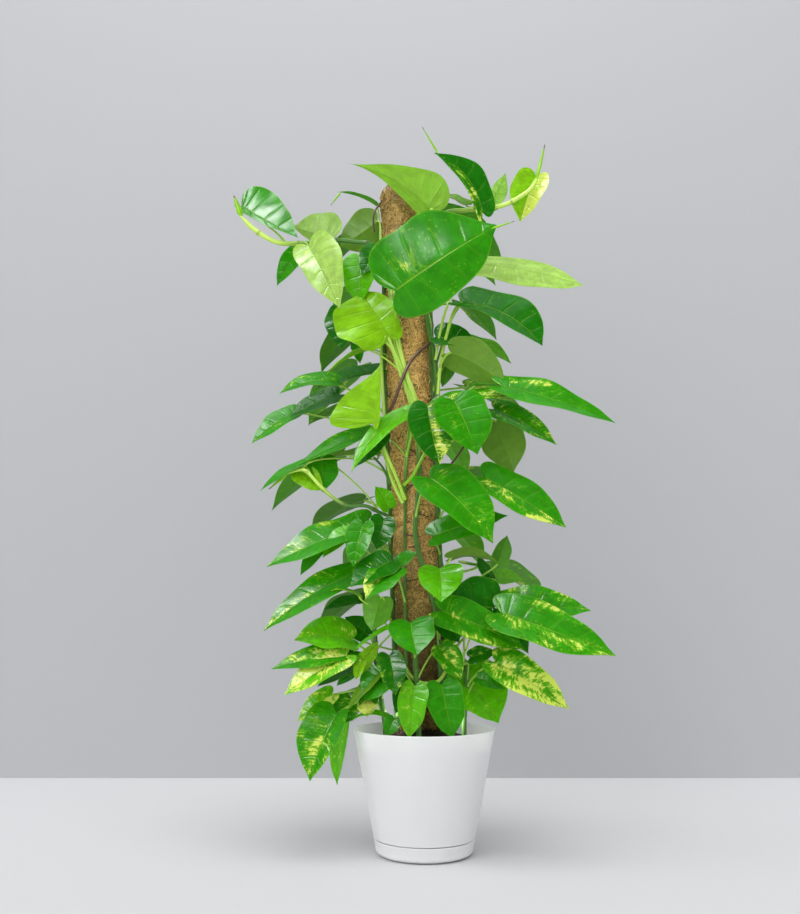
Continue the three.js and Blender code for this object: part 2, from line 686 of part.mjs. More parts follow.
      fold: 18, from: 622,
    },
    { foot: [38, 642, 8], tip: [26, 602, 10], width: 22, face: [0.5, -1, 0.2], from: 600 },
    { foot: [98, 556, 18], tip: [121, 486, 22], width: 64, face: [0.2, -1, 0.3], from: 500 },
    { foot: [90, 346, 24], tip: [72, 377, 20], width: 24, face: [-1, 0.4, 0.3], from: 290 },
    { foot: [98, 363, 36], tip: [111, 402, 34], width: 26, face: [0.4, -1, 0], from: 300 },
    { foot: [92, 348, 12], tip: [130, 343, 8], width: 26, face: [0, -1, 0.8], from: 280 },
  ],
  // young leaves round the left of the pot
  low_left: [
    { foot: [-40, 283, 58], tip: [-92, 250, 66], width: 22, face: [-0.3, 0.2, 1], from: 250 },
    { foot: [-50, 222, 52], tip: [-76, 188, 64], width: 46, face: [-0.2, 1, 0.8], from: 190 },
    { foot: [-70, 194, 42], tip: [-75, 169, 52], width: 24, face: [0, 1, 0.5], from: 175 },
    { foot: [-47, 168, 52], tip: [-94, 162, 40], width: 18, face: [0, 0.3, 1], curl: 70, from: 165 },
    { foot: [-108, 176, 44], tip: [-146, 88, 60], width: 66, face: [-0.3, 1, 0.4], curl: 32, from: 190 },
    { foot: [-103, 172, -24], tip: [-111, 83, -44], width: 34, face: [-0.8, 1, 0.2], from: 180 },
    { foot: [-118, 197, 24], tip: [-163, 162, 32], width: 34, face: [-0.1, 1, 0.9], from: 195 },
    { foot: [-93, 190, 20], tip: [-114, 158, 28], width: 38, face: [0, 1, 0.6], from: 180 },
    { foot: [-96, 262, 28], tip: [-172, 262, 38], width: 60, face: [0, 0.8, 1], curl: 40, from: 240 },
    { foot: [-92, 252, 40], tip: [-198, 228, 54], width: 44, face: [0, 0.8, 1], from: 225 },
    { foot: [-100, 246, 54], tip: [-181, 195, 68], width: 44, face: [0, 1, 1], from: 215 },
    { foot: [-86, 236, 34], tip: [-138, 206, 44], width: 30, face: [0, 0.7, 1], from: 210 },
    { foot: [-88, 226, 22], tip: [-113, 207, 26], width: 20, face: [0, 0.7, 1], from: 205 },
    { foot: [-72, 272, 2], tip: [-103, 295, 0], width: 34, face: [0, 1, 0.5], from: 250 },
    { foot: [-84, 230, 44], tip: [-59, 264, 48], width: 22, face: [0.4, 1, 0.2], from: 200 },
    { foot: [-80, 238, 54], tip: [-88, 214, 60], width: 16, face: [-0.4, 1, 0.4], from: 205 },
    { foot: [-55, 227, 50], tip: [-98, 177, 60], width: 28, face: [-0.5, 0.6, 1], from: 200 },
  ],
  // young leaves at the front of the pot
  low_front: [
    { foot: [22, 209, 58], tip: [36, 140, 68], width: 50, face: [0.1, 1, 0.6], from: 180 },
    { foot: [-12, 207, 66], tip: [-20, 140, 72], width: 38, face: [0, 1, 0.4], from: 182 },
    { foot: [-38, 166, 60], tip: [-47, 144, 64], width: 22, face: [0, 1, 0.4], from: 170 },
    { foot: [-45, 246, 62], tip: [-37, 195, 80], width: 36, face: [0, 1, 0.6], from: 205 },
    { foot: [-18, 215, 48], tip: [-37, 172, 56], width: 30, face: [0, 1, 0.5], from: 190 },
    { foot: [-18, 280, 74], tip: [-9, 245, 104], width: 60, face: [0, 0.9, 1], from: 240 },
    { foot: [22, 258, 50], tip: [48, 215, 58], width: 36, face: [0.2, 1, 0.4], from: 215 },
  ],
  // young leaves round the right of the pot
  low_right: [
    { foot: [92, 238, 58], tip: [187, 178, 80], width: 52, face: [0, 1, 0.8], from: 205 },
    { foot: [60, 243, 36], tip: [94, 250, 42], width: 24, face: [0, 1, 0.5], from: 210 },
    { foot: [50, 222, 14], tip: [95, 164, 30], width: 76, face: [0.3, 1, 0.9], from: 185 },
    { foot: [70, 217, 46], tip: [104, 203, 52], width: 26, face: [0.2, 1, 0.8], from: 190 },
    { foot: [54, 228, 0], tip: [103, 224, -6], width: 24, face: [0, 0.5, 1], from: 195 },
  ],
};

// The far side, where leaves stand in turn along the back stems and hang outwards. Pairs are [least, range].
const BACK = {
  count: 22,
  lowCount: 4,
  lowZ: 205,
  highZ: 872,
  length: [62, 66],
  reach: [70, 42],
  awayFromBack: [22, 46],
  droop: [0.25, 0.45],
  slim: [0.5, 0.12],
  curl: [24, 20],
};

function backLeaves() {
  const leaves = { back_left: [], back_right: [], low_back: [] };
  for (let i = 0; i < BACK.count; i++) {
    const some = ([least, range], seed) => least + range * scatter(i + seed);
    const onLeft = i % 2 === 0;
    const low = i < BACK.lowCount;
    const turn = THREE.MathUtils.degToRad((onLeft ? -1 : 1) * (180 - some(BACK.awayFromBack, 1)));
    const length = some(BACK.length, 31);
    const z = BACK.lowZ + ((BACK.highZ - BACK.lowZ) * i) / (BACK.count - 1) + some([-5, 10], 61);
    const out = [Math.sin(turn), -Math.cos(turn)];
    const reach = some(BACK.reach, 91);
    const footAt = [onAxis(z).x + out[0] * reach, out[1] * reach, z];
    const drop = length * some(BACK.droop, 121);
    const tipAt = [footAt[0] + out[0] * length, footAt[1] + out[1] * length, z - drop];
    const stem = low ? "low_back" : onLeft ? "back_left" : "back_right";
    leaves[stem].push({
      foot: unsighted(footAt),
      tip: unsighted(tipAt),
      width: length * some(BACK.slim, 151),
      face: [out[0] * 0.6, -out[1] * 0.6, 1],
      curl: some(BACK.curl, 181),
      from: low ? 200 + 14 * i : undefined,
    });
  }
  return leaves;
}

/** The sighted numbers of a plain point: the inverse of sighted(). */
function unsighted([x, y, z]) {
  const nearer = 1 - y / SIGHTING.y;
  return [SIGHTING.x + (x - SIGHTING.x) / nearer, SIGHTING.z + (z - SIGHTING.z) / nearer, -y];
}

// ---------------------------------------------------------------------------------------------
// The whole plant

const MATERIALS = {
  pot: new THREE.MeshStandardMaterial({ color: 0xe9ebea, roughness: 0.38, metalness: 0 }),
  soil: new THREE.MeshStandardMaterial({ color: 0x2a1d15, roughness: 0.95, metalness: 0 }),
  coir: new THREE.MeshStandardMaterial({ color: 0x8a5a2b, roughness: 0.95, metalness: 0 }),
  stake: new THREE.MeshStandardMaterial({ color: 0xb08d5e, roughness: 0.8, metalness: 0 }),
  leaf: new THREE.MeshStandardMaterial({ color: 0x2f9a12, roughness: 0.32, metalness: 0 }),
};

function named(name, geometry, material) {
  const mesh = new THREE.Mesh(geometry, material);
  mesh.name = name;
  return mesh;
}

/** One leafy stem with all its leaf stalks, blades and buds, joined into one solid. */
function leafyStem(stem, line, leaves) {
  const samples = straightSamples(line, stem.steps);
  const solids = [tubeAlong(line, stem.radius ?? STEM_R, 5, stem.steps)];
  if (stem.bud) solids.push(bud(line.getPoint(0.985), sighted(stem.bud.to), stem.bud.radius));
  if (stem.branch) {
    const branchLine = new THREE.CatmullRomCurve3(stem.branch.map(sighted), false, "centripetal");
    solids.push(tubeAlong(branchLine, BRANCH.radius, 4, BRANCH.steps));
    solids.push(bud(branchLine.getPoint(0.97), sighted(stem.branchBud.to), stem.branchBud.radius));
    samples.push(...straightSamples(branchLine, BRANCH.steps));
  }
  for (const leaf of leaves) {
    solids.push(blade(leaf), petiole(leaf, samples));
    if (leaf.drip) solids.push(bud(bladeSheet(leaf).place(0.95, 0), sighted(leaf.drip), DRIP_R));
  }
  return wasm.Manifold.union(solids);
}

const plant = new THREE.Group();
const lines = Object.fromEntries(Object.entries(STEMS).map(([name, stem]) => [name, stemLine(stem)]));
const leavesOf = { ...LEAVES, ...backLeaves() };

plant.add(named("pot", geometryFrom(makePot()), MATERIALS.pot));
plant.add(named("saucer", geometryFrom(makeSaucer()), MATERIALS.pot));
plant.add(
  named(
    "soil",
    geometryFrom(makeSoil(Object.entries(lines).map(([name, line]) => stemHole(line, STEMS[name].radius)))),
    MATERIALS.soil,
  ),
);

const pole = new THREE.Group();
pole.position.z = POLE.pivotZ;
pole.rotation.y = -POLE_LEAN;
pole.add(named("coir_sleeve", geometryFrom(solidFrom(makeSleeve())), MATERIALS.coir));
pole.add(named("pole_stake", makeStake(), MATERIALS.stake));
plant.add(pole);

for (const [name, line] of Object.entries(lines)) {
  plant.add(named(`vine_${name}`, geometryFrom(leafyStem(STEMS[name], line, leavesOf[name])), MATERIALS.leaf));
}

export default plant;
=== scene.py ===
"""Golden pothos on a coir pole, in a white pot with a clip-on saucer: the finished look of a fixed frame."""

import math
import random
from itertools import accumulate
from typing import NamedTuple

import bmesh
import bpy
import numpy as np
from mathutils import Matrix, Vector, noise


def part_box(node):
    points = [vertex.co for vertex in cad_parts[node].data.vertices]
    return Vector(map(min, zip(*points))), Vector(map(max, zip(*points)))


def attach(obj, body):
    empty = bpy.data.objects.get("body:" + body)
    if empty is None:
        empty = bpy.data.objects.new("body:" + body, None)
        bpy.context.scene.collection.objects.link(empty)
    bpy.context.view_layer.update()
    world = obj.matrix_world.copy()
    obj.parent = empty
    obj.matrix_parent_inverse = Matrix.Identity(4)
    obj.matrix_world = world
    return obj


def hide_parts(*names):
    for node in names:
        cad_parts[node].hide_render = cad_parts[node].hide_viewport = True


bl_info = {
    "name": "Pothos on a Coir Pole",
    "version": (1, 0, 0),
    "blender": (4, 5, 0),
    "location": "3D View > Sidebar > Pothos",
    "description": "Grows a variegated pothos with its pot, soil and pole around a fixed frame",
    "category": "Add Mesh",
}

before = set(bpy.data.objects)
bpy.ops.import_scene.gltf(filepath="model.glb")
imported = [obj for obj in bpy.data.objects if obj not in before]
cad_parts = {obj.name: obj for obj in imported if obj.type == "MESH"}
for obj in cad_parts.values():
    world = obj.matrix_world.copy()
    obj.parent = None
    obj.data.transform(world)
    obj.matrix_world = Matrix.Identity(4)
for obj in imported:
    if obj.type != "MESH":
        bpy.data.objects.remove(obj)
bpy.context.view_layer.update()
MM = 0.001

POT_LOW, POT_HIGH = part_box("pot")
_, SAUCER_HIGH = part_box("saucer")
SOIL_LOW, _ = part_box("soil")
COIR_LOW, COIR_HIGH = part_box("coir_sleeve")


# ---------------------------------------------------------------------------------------------
# Settings


def colour_setting(name, description, default):
    return bpy.props.FloatVectorProperty(
        name=name, description=description, subtype="COLOR", size=3, min=0, max=1, default=default
    )


def length_setting(name, description, default):
    return bpy.props.FloatProperty(
        name=name, description=description, unit="LENGTH", subtype="DISTANCE", min=0, default=default
    )


class PotSettings(bpy.types.PropertyGroup):
    rim_radius: length_setting("Rim radius", "Outer radius of the pot at its rim", POT_HIGH.x)
    rim_height: length_setting("Rim height", "Height of the rim above the floor", POT_HIGH.z)
    saucer_height: length_setting("Saucer height", "Height of the saucer's wall", SAUCER_HIGH.z)
    taper: bpy.props.FloatProperty(
        name="Taper", description="Radius that the wall gains for each unit of height", default=0.198, min=0
    )
    wall: length_setting("Wall", "Thickness of the pot's wall", 0.0026)
    plastic: colour_setting("Plastic", "Colour of pot and saucer", (0.86, 0.875, 0.86))
    soil: colour_setting("Soil", "Colour of moist potting soil", (0.030, 0.018, 0.011))


class PoleSettings(bpy.types.PropertyGroup):
    radius: length_setting("Radius", "Radius of the coir sleeve", 0.029)
    lean: bpy.props.FloatProperty(
        name="Lean", description="Sideways step to the left for each unit of height", default=0.036
    )
    pivot: length_setting("Pivot", "Height at which the leaning pole stands over the pot's middle", 0.1)
    fibres: bpy.props.IntProperty(
        name="Fibres", description="Number of loose coir fibres", default=6400, min=0
    )
    coir: colour_setting("Coir", "Colour of fresh coconut fibre", (1.0, 0.72, 0.24))
    # The darker coir colours the darker loose fibres, and the mat, partly as painted shade in the gaps among
    # the loose fibres.
    dark_coir_and_gap_shade: colour_setting("Old coir", "Colour of coconut fibre in the mat", (0.68, 0.40, 0.11))
    thread: colour_setting("Thread", "Colour of the binding thread", (0.12, 0.07, 0.03))


class PlantSettings(bpy.types.PropertyGroup):
    thickness: length_setting("Blade thickness", "Thickness of a leaf blade", 0.0006)
    quilting: bpy.props.FloatProperty(
        name="Quilting", description="Swell between the side veins, as a share of the half width",
        default=0.005, min=0,
    )
    deep: colour_setting("Deep green", "Oldest and most shaded leaves", (0.012, 0.205, 0.002))
    mid: colour_setting("Mid green", "Most leaves", (0.037, 0.355, 0.002))
    # Bright and lime green are also partly painted light: besides young leaves, they stand for leaves in full
    # light or with the light through them.
    bright: colour_setting("Bright green", "Young leaves", (0.14, 0.60, 0.004))
    lime: colour_setting("Lime green", "Newest leaves", (0.32, 0.70, 0.008))
    pale: colour_setting("Pale green", "Leaves with the light through them", (0.50, 0.76, 0.15))
    olive: colour_setting("Olive green", "Leaves that show their underside", (0.17, 0.38, 0.018))
    cream: colour_setting("Cream", "Variegation", (0.94, 1.0, 0.17))
    stem: colour_setting("Stalk", "Pale green of leaf stalks and young stems", (0.56, 0.86, 0.10))
    cane: colour_setting("Cane", "Green of old stems", (0.10, 0.27, 0.035))
    root: colour_setting("Root", "Brown of the aerial roots", (0.13, 0.07, 0.03))


class StageSettings(bpy.types.PropertyGroup):
    floor: colour_setting("Floor", "Colour of the floor", (0.60, 0.60, 0.61))
    wall: colour_setting("Backdrop", "Colour of the backdrop", (0.44, 0.445, 0.46))
    wall_distance: length_setting("Backdrop distance", "From the pot's middle to the backdrop", 0.574)


# ---------------------------------------------------------------------------------------------
# Node trees


class Field:
    """A node socket that adds and multiplies like a number or a vector, each step being one math node."""

    def __init__(self, socket):
        self.socket = socket
        self.tree = socket.id_data
        self.is_vector = socket.type in ("VECTOR", "RGBA")

    def _scalar(self, operation, *operands):
        links = dict(enumerate(operands))
        return Field(add(self.tree, "ShaderNodeMath", links, operation=operation).outputs[0])

    def _vector(self, operation, a, b):
        slot = 3 if operation == "SCALE" else 1
        return Field(add(self.tree, "ShaderNodeVectorMath", {0: a, slot: b}, operation=operation).outputs[0])

    def __add__(self, other):
        return self._vector("ADD", self, other) if self.is_vector else self._scalar("ADD", self, other)

    def __sub__(self, other):
        return self._scalar("SUBTRACT", self, other)

    def __rsub__(self, other):
        return self._scalar("SUBTRACT", other, self)

    def __mul__(self, other):
        if self.is_vector:
            return self._vector("SCALE", self, other)
        return self._scalar("MULTIPLY", self, other)

    def __truediv__(self, other):
        return self._scalar("DIVIDE", self, other)

    def __pow__(self, other):
        return self._scalar("POWER", self, other)

    __radd__ = __add__
    __rmul__ = __mul__

    def sine(self):
        return self._scalar("SINE", self)

    def cosine(self):
        return self._scalar("COSINE", self)

    def size(self):
        return self._scalar("ABSOLUTE", self)

    def at_least(self, other):
        return self._scalar("MAXIMUM", self, other)

    def at_most(self, other):
        return self._scalar("MINIMUM", self, other)

    def above(self, other):
        """1 where this is greater, 0 elsewhere."""
        return self._scalar("GREATER_THAN", self, other)

    def cross(self, other):
        return self._vector("CROSS_PRODUCT", self, other)

    def parts(self):
        return [Field(s) for s in add(self.tree, "ShaderNodeSeparateXYZ", {0: self}).outputs]

    def ramp(self, low, high, to_low=0.0, to_high=1.0):
        """A smooth step from to_low to to_high while this goes from low to high."""
        links = {"Value": self, "From Min": low, "From Max": high, "To Min": to_low, "To Max": to_high}
        return Field(add(self.tree, "ShaderNodeMapRange", links, interpolation_type="SMOOTHSTEP").outputs[0])


def add(tree, kind, inputs=None, **settings):
    """A new node with its settings, and its inputs linked or set."""
    node = tree.nodes.new(kind)
    for key, value in settings.items():
        setattr(node, key, value)
    for key, value in (inputs or {}).items():
        if isinstance(value, Field):
            value = value.socket
        if isinstance(value, bpy.types.NodeSocket):
            tree.links.new(value, node.inputs[key])
        else:
            node.inputs[key].default_value = value
    return node


def combine(tree, x, y, z):
    return Field(add(tree, "ShaderNodeCombineXYZ", {0: x, 1: y, 2: z}).outputs[0])


def new_group(name, kind, inputs, outputs):
    """A node group with its sockets, and its input and output nodes."""
    tree = bpy.data.node_groups.new(name, kind)
    for in_out, sockets in (("INPUT", inputs), ("OUTPUT", outputs)):
        for label, socket_type, *default in sockets:
            socket = tree.interface.new_socket(label, in_out=in_out, socket_type="NodeSocket" + socket_type)
            if default:
                socket.default_value = default[0]
    return tree, tree.nodes.new("NodeGroupInput"), tree.nodes.new("NodeGroupOutput")


def geometry_group(name, *inputs):
    """A node group from one geometry to another, with its inputs by name and the socket that ends it."""
    geometry = ("Geometry", "Geometry")
    tree, given, made = new_group(name, "GeometryNodeTree", [geometry, *inputs], [geometry])
    return tree, given.outputs, made.inputs[0]


def step(tree, kind, inputs, **settings):
    """The first output of a new geometry node."""
    return add(tree, "GeometryNode" + kind, inputs, **settings).outputs[0]


def stored(tree, geometry, name, value, domain="POINT"):
    """A geometry that keeps a number on each of its elements."""
    links = {"Geometry": geometry, "Name": name, "Value": value}
    return step(tree, "StoreNamedAttribute", links, data_type="FLOAT", domain=domain)


def random_value(tree, low, high, seed, is_vector=False):
    """A number or a vector between limits, drawn for each element."""
    kind, first, output = ("FLOAT_VECTOR", 0, 0) if is_vector else ("FLOAT", 2, 1)
    links = {first: low, first + 1: high, "Seed": seed}
    return add(tree, "FunctionNodeRandomValue", links, data_type=kind).outputs[output]


def scattered(tree, inputs, shape, turns, sizes, seed):
    """Copies of a shape all over the given surface, each turned and sized between limits."""
    spots = add(tree, "GeometryNodeDistributePointsOnFaces", {
        "Mesh": inputs["Geometry"], "Density": inputs["Count per area"], "Seed": inputs["Seed"],
    }).outputs
    copies = step(tree, "InstanceOnPoints", {
        "Points": spots["Points"], "Instance": shape, "Rotation": spots["Rotation"],
    })
    turn = random_value(tree, *turns, seed, is_vector=True)
    turned = step(tree, "RotateInstances", {"Instances": copies, "Rotation": turn})
    return step(tree, "ScaleInstances", {"Instances": turned, "Scale": random_value(tree, *sizes, seed + 1)})


def end_tree(tree, geometry, material, made):
    """Ends a tree with its geometry made real and given its material."""
    real = step(tree, "RealizeInstances", {"Geometry": geometry})
    tree.links.new(step(tree, "SetMaterial", {"Geometry": real, "Material": material}), made)
    return tree


def linked(name, data):
    """A new object of the scene."""
    piece = bpy.data.objects.new(name, data)
    bpy.context.scene.collection.objects.link(piece)
    return piece


def evaluated(name, tree, mesh, inputs):
    """The plain mesh that a geometry node tree makes of a mesh, as a new object with no modifier left."""
    piece = linked(name, mesh)
    modifier = piece.modifiers.new(tree.name, "NODES")
    modifier.node_group = tree
    for item in tree.interface.items_tree:
        if item.item_type == "SOCKET" and item.in_out == "INPUT" and item.name in inputs:
            modifier[item.identifier] = inputs[item.name]
    piece.update_tag()
    depsgraph = bpy.context.evaluated_depsgraph_get()
    made = bpy.data.meshes.new_from_object(piece.evaluated_get(depsgraph))
    piece.modifiers.clear()
    piece.data = made
    made.name = name
    return piece


def finish_piece(piece, slot, *nodes):
    """A finished piece rides on the plant's one body, and stands for CAD nodes where it is named so."""
    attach(piece, "root")
    if nodes:
        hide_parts(*nodes)
    return piece


def new_material(name, **constants):
    """A material with its tree and its Principled shader, whose plain inputs are set by name."""
    material = bpy.data.materials.new(name)
    material.use_nodes = True
    tree = material.node_tree
    shader = tree.nodes["Principled BSDF"]
    for label, value in constants.items():
        shader.inputs[label.replace("_", " ")].default_value = value
    return material, tree, shader


def noise_at(tree, spot, scale, detail, roughness=0.5, distortion=0.0):
    """Noise at a place."""
    links = {
        "Vector": spot, "Scale": scale, "Detail": detail, "Roughness": roughness, "Distortion": distortion,
    }
    return Field(add(tree, "ShaderNodeTexNoise", links).outputs[0])


def object_coords(tree):
    return Field(add(tree, "ShaderNodeTexCoord").outputs["Object"])


def object_noise(tree, scale, detail=3.0, roughness=0.55, distortion=0.0):
    """Noise on Object coordinates."""
    return noise_at(tree, object_coords(tree), scale, detail, roughness, distortion)


def attribute(tree, name, output="Fac"):
    return Field(add(tree, "ShaderNodeAttribute", attribute_name=name).outputs[output])


def mixed(tree, share, a, b, blend="MIX"):
    """Two colours mixed."""
    links = {"Factor": share, 6: a, 7: b}
    return Field(add(tree, "ShaderNodeMix", links, data_type="RGBA", blend_type=blend).outputs[2])


def rgb(tree, red, green, blue):
    """A colour whose channels are fields."""
    return Field(add(tree, "ShaderNodeCombineColor", {0: red, 1: green, 2: blue}).outputs[0])


def bumped(tree, shader, height, distance, strength=1.0):
    links = {"Height": height, "Distance": distance, "Strength": strength}
    normal = add(tree, "ShaderNodeBump", links).outputs[0]
    tree.links.new(normal, shader.inputs["Normal"])


def link(tree, field, socket):
    tree.links.new(field.socket, socket)


def coat(tree, shader, colour, roughness):
    """Gives a shader its colour and its roughness."""
    link(tree, colour, shader.inputs["Base Color"])
    link(tree, roughness, shader.inputs["Roughness"])


def opaque(colour):
    return (*colour, 1.0)


# ---------------------------------------------------------------------------------------------
# Pot, saucer and soil

# The level of the soil at the pot's wall, and how high and how wide it is heaped round the pole.
SOIL_LEVEL, HEAP_HEIGHT, HEAP_SPREAD = 0.131, 0.035, 0.046


def rounded(corners, steps=5):
    """Corners of a profile as (radius, height, rounding), each rounded corner turned into an arc."""
    points = []
    for i, (r, z, rounding) in enumerate(corners):
        here = Vector((r, z))
        if not rounding:
            points.append(here)
            continue
        before = Vector(corners[i - 1][:2]) - here
        after = Vector(corners[(i + 1) % len(corners)][:2]) - here
        reach = min(rounding, before.length * 0.49, after.length * 0.49)
        first, last = here + before.normalized() * reach, here + after.normalized() * reach
        for k in range(steps + 1):
            t = k / steps
            points.append(first * (1 - t) ** 2 + here * 2 * t * (1 - t) + last * t**2)
    return points


def around(angle):
    """The level direction at an angle in radians."""
    return Vector((math.cos(angle), math.sin(angle), 0))


def circle(radius, z, count):
    """Points of a level circle round the middle."""
    angles = (math.tau * k / count for k in range(count))
    return [(radius * math.cos(a), radius * math.sin(a), z) for a in angles]


def as_mesh(name, shape):
    """A bmesh as a mesh of its own."""
    mesh = bpy.data.meshes.new(name)
    shape.to_mesh(mesh)
    shape.free()
    return mesh


def ringed_mesh(name, rings, outwards=False, caps=False):
    """A smooth mesh with a skin from each ring of points to the next, where a ring of one point is a tip.

    The faces run round each ring in turn, or outwards along each strip from the first ring to the last.
    """
    shape = bmesh.new()
    rings = [[shape.verts.new(point) for point in ring] for ring in rings]
    strips = range(max(len(ring) for ring in rings))
    places = [(i, k) for i in range(len(rings) - 1) for k in strips]
    if outwards:
        places.sort(key=lambda place: place[1])
    for i, k in places:
        near, far = ([ring[j % len(ring)] for j in (k, k + 1)] for ring in rings[i:i + 2])
        corners = (near[0], far[0], far[1], near[1]) if outwards else (near[0], near[1], far[1], far[0])
        shape.faces.new(tuple(dict.fromkeys(corners)))
    if caps:
        shape.faces.new(reversed(rings[0]))
        shape.faces.new(rings[-1])
    bmesh.ops.recalc_face_normals(shape, faces=shape.faces)
    mesh = as_mesh(name, shape)
    mesh.shade_smooth()
    return mesh


def turned_mesh(name, profile, segments=160):
    """A closed solid of revolution from an outline that starts and ends on the axis."""
    return ringed_mesh(name, [circle(r, z, 1 if r < 1e-6 else segments) for r, z in profile])


def placed(name, mesh, material):
    mesh.materials.append(material)
    return linked(name, mesh)


def wall_radius(z, settings):
    return settings.rim_radius - settings.taper * (settings.rim_height - z)


def pot_material(settings):
    """Satin white moulded plastic with a faint unevenness in its gloss."""
    material, tree, shader = new_material(
        "satin white plastic", IOR=1.46, Subsurface_Weight=0.7, Subsurface_Radius=(1, 1, 0.95),
        Subsurface_Scale=0.008,
    )
    dull = opaque(c * 0.97 for c in settings.plastic)
    colour = mixed(tree, object_noise(tree, 9, 2).ramp(0.3, 0.7), dull, opaque(settings.plastic))
    coat(tree, shader, colour, object_noise(tree, 30).ramp(0.3, 0.7, 0.34, 0.44))
    bumped(tree, shader, object_noise(tree, 900, 2), 0.00003, 0.25)
    return material


def make_pot(settings):
    """The tapered pot, with its foot set in where the saucer clips on."""
    rim, wall, floor, top = settings.rim_height, settings.wall, POT_LOW.z, settings.saucer_height
    inside, groove, flush, set_in = floor + 0.0028, top + 0.0007, top + 0.002, 0.0026

    def r(z):
        return wall_radius(z, settings)

    return turned_mesh("pot_body", rounded([
        (0, floor, 0), (53 * MM, floor, 0.003), (58.6 * MM, 7.5 * MM, 0.003),
        (r(groove) - set_in, groove, 0), (r(top) - 0.0003, groove, 0.0006), (r(flush), flush, 0),
        (r(rim), rim, 0.0011), (r(rim) - wall, rim, 0.0009), (r(27 * MM) - wall, 27 * MM, 0.004),
        (r(16 * MM) - wall - set_in, 16 * MM, 0.004), (52 * MM, inside, 0.003), (0, inside, 0),
    ]))


def make_saucer(settings):
    """The clip-on saucer, flush with the pot's wall above a fine groove."""
    top, wall, hollow, inside = settings.saucer_height, 0.0019, 0.0012, 2.4 * MM
    lip = top - 0.0002

    def r(z):
        return wall_radius(z, settings)

    return turned_mesh("saucer_body", rounded([
        (0, hollow, 0), (44 * MM, hollow, 0.001), (46 * MM, 0, 0.001), (54 * MM, 0, 0.004),
        (61.6 * MM, 3.6 * MM, 0.006), (r(12 * MM), 12 * MM, 0), (r(top), lip, 0.0007),
        (r(top) - wall, lip, 0.0006), (r(9 * MM) - wall, 9 * MM, 0.002), (55.6 * MM, 2.9 * MM, 0.003),
        (53 * MM, inside, 0), (0, inside, 0),
    ]))


def soil_material(settings):
    """Moist potting soil: near black, with lighter fibres and grains."""
    material, tree, shader = new_material("moist potting soil", IOR=1.35)
    grain, clods = object_noise(tree, 260, 6, 0.7), object_noise(tree, 60, 4)
    dark, light = (opaque(c * share for c in settings.soil) for share in (0.45, 3.2))
    coat(tree, shader, mixed(tree, grain.ramp(0.38, 0.78), dark, light), clods.ramp(0.3, 0.7, 0.55, 0.95))
    bumped(tree, shader, grain + clods * 2, 0.0025)
    return material


def soil_height(x, y):
    """Height of the heaped soil above a place, with clods."""
    heap = SOIL_LEVEL + HEAP_HEIGHT * math.exp(-((math.hypot(x, y) / HEAP_SPREAD) ** 2))
    return heap + noise.fractal(Vector((x, y, 0.3)) * 90, 0.8, 2.1, 4) * 0.0022


def make_soil_bed(settings):
    """The soil: a rough heap on top and a plain body down in the pot."""
    segments, count = 120, 34
    low, floor = 0.03, SOIL_LOW.z
    edge = wall_radius(SOIL_LEVEL, settings) - settings.wall - 0.0004
    low_edge = wall_radius(low, settings) - settings.wall - 0.0008
    rings = [circle(edge * ring / count, 0, segments if ring else 1) for ring in range(count + 1)]
    heap = [[(x, y, soil_height(x, y)) for x, y, _ in ring] for ring in rings]
    body = [circle(radius, z, segments) for radius, z in ((edge, 0.127), (low_edge, low), (0.05, floor))]
    return ringed_mesh("soil_bed", [*heap, *body, circle(0, floor, 1)], outwards=True)


def scatter_tree():
    """Scatters turned and sized copies of a small shape over a surface."""
    tree, inputs, made = geometry_group(
        "Soil crumbs", ("Shape", "Object"), ("Count per area", "Float", 100000.0), ("Seed", "Int", 1),
        ("Least size", "Float", 0.5), ("Most size", "Float", 1.5), ("Lean", "Float", 0.4),
        ("Finish", "Material"),
    )
    shape = add(tree, "GeometryNodeObjectInfo", {"Object": inputs["Shape"], "As Instance": True})
    lean = Field(inputs["Lean"])
    turns = [combine(tree, lean * way, lean * way, math.pi * way) for way in (-1, 1)]
    sizes = inputs["Least size"], inputs["Most size"]
    crumbs = scattered(tree, inputs, shape.outputs["Geometry"], turns, sizes, 4)
    return end_tree(tree, crumbs, inputs["Finish"], made)


# ---------------------------------------------------------------------------------------------
# Coir pole


def pole_axis(z, settings):
    """The point of the pole's leaning axis at a height."""
    return Vector((-settings.lean * (z - settings.pivot), 0, z))


def coir_material(name, settings, loose):
    """Coconut fibre, from brown to golden, in swirls of light and dark, which are partly random tone and
    partly painted light and shade among the curls.

    Each loose fibre has its own shade, and the mat has patches and is darker than the loose fibres, partly as
    painted shade in the gaps among them.
    """
    material, tree, shader = new_material(name, IOR=1.4)
    strands = object_noise(tree, 420, 5, 0.65)
    patches = object_noise(tree, 30, 3) * 0.4
    # The mat's tone is set lower than that of the loose fibres, partly as painted shade in the gaps among
    # them.
    tone = attribute(tree, "shade") + patches + 0.02 if loose else strands * 0.6 + patches - 0.1
    height = object_coords(tree).parts()[2]
    # Painted shade: the coir is darker towards the bottom and towards the top, where the leaves shade it.
    painted_height_shade = height.ramp(0.2, 0.46, 0.26, 1.0) * height.ramp(0.74, 0.85, 1.0, 0.6)
    # The swirls are partly random tone and partly painted shade and highlight: dark gaps and lit curls among
    # the fibres.
    swirls = object_noise(tree, 125, 3, 0.55, distortion=3.0)
    dark = painted_height_shade * swirls.ramp(0.36, 0.6, 0.52, 1.35)
    colour = mixed(tree, tone.ramp(0.25, 0.75), opaque(settings.dark_coir_and_gap_shade), opaque(settings.coir))
    shaded = mixed(tree, 1.0, colour, rgb(tree, dark, dark, dark**1.3), "MULTIPLY")
    coat(tree, shader, shaded, strands.ramp(0.3, 0.7, 0.55, 0.85))
    bumped(tree, shader, strands, 0.0012)
    return material


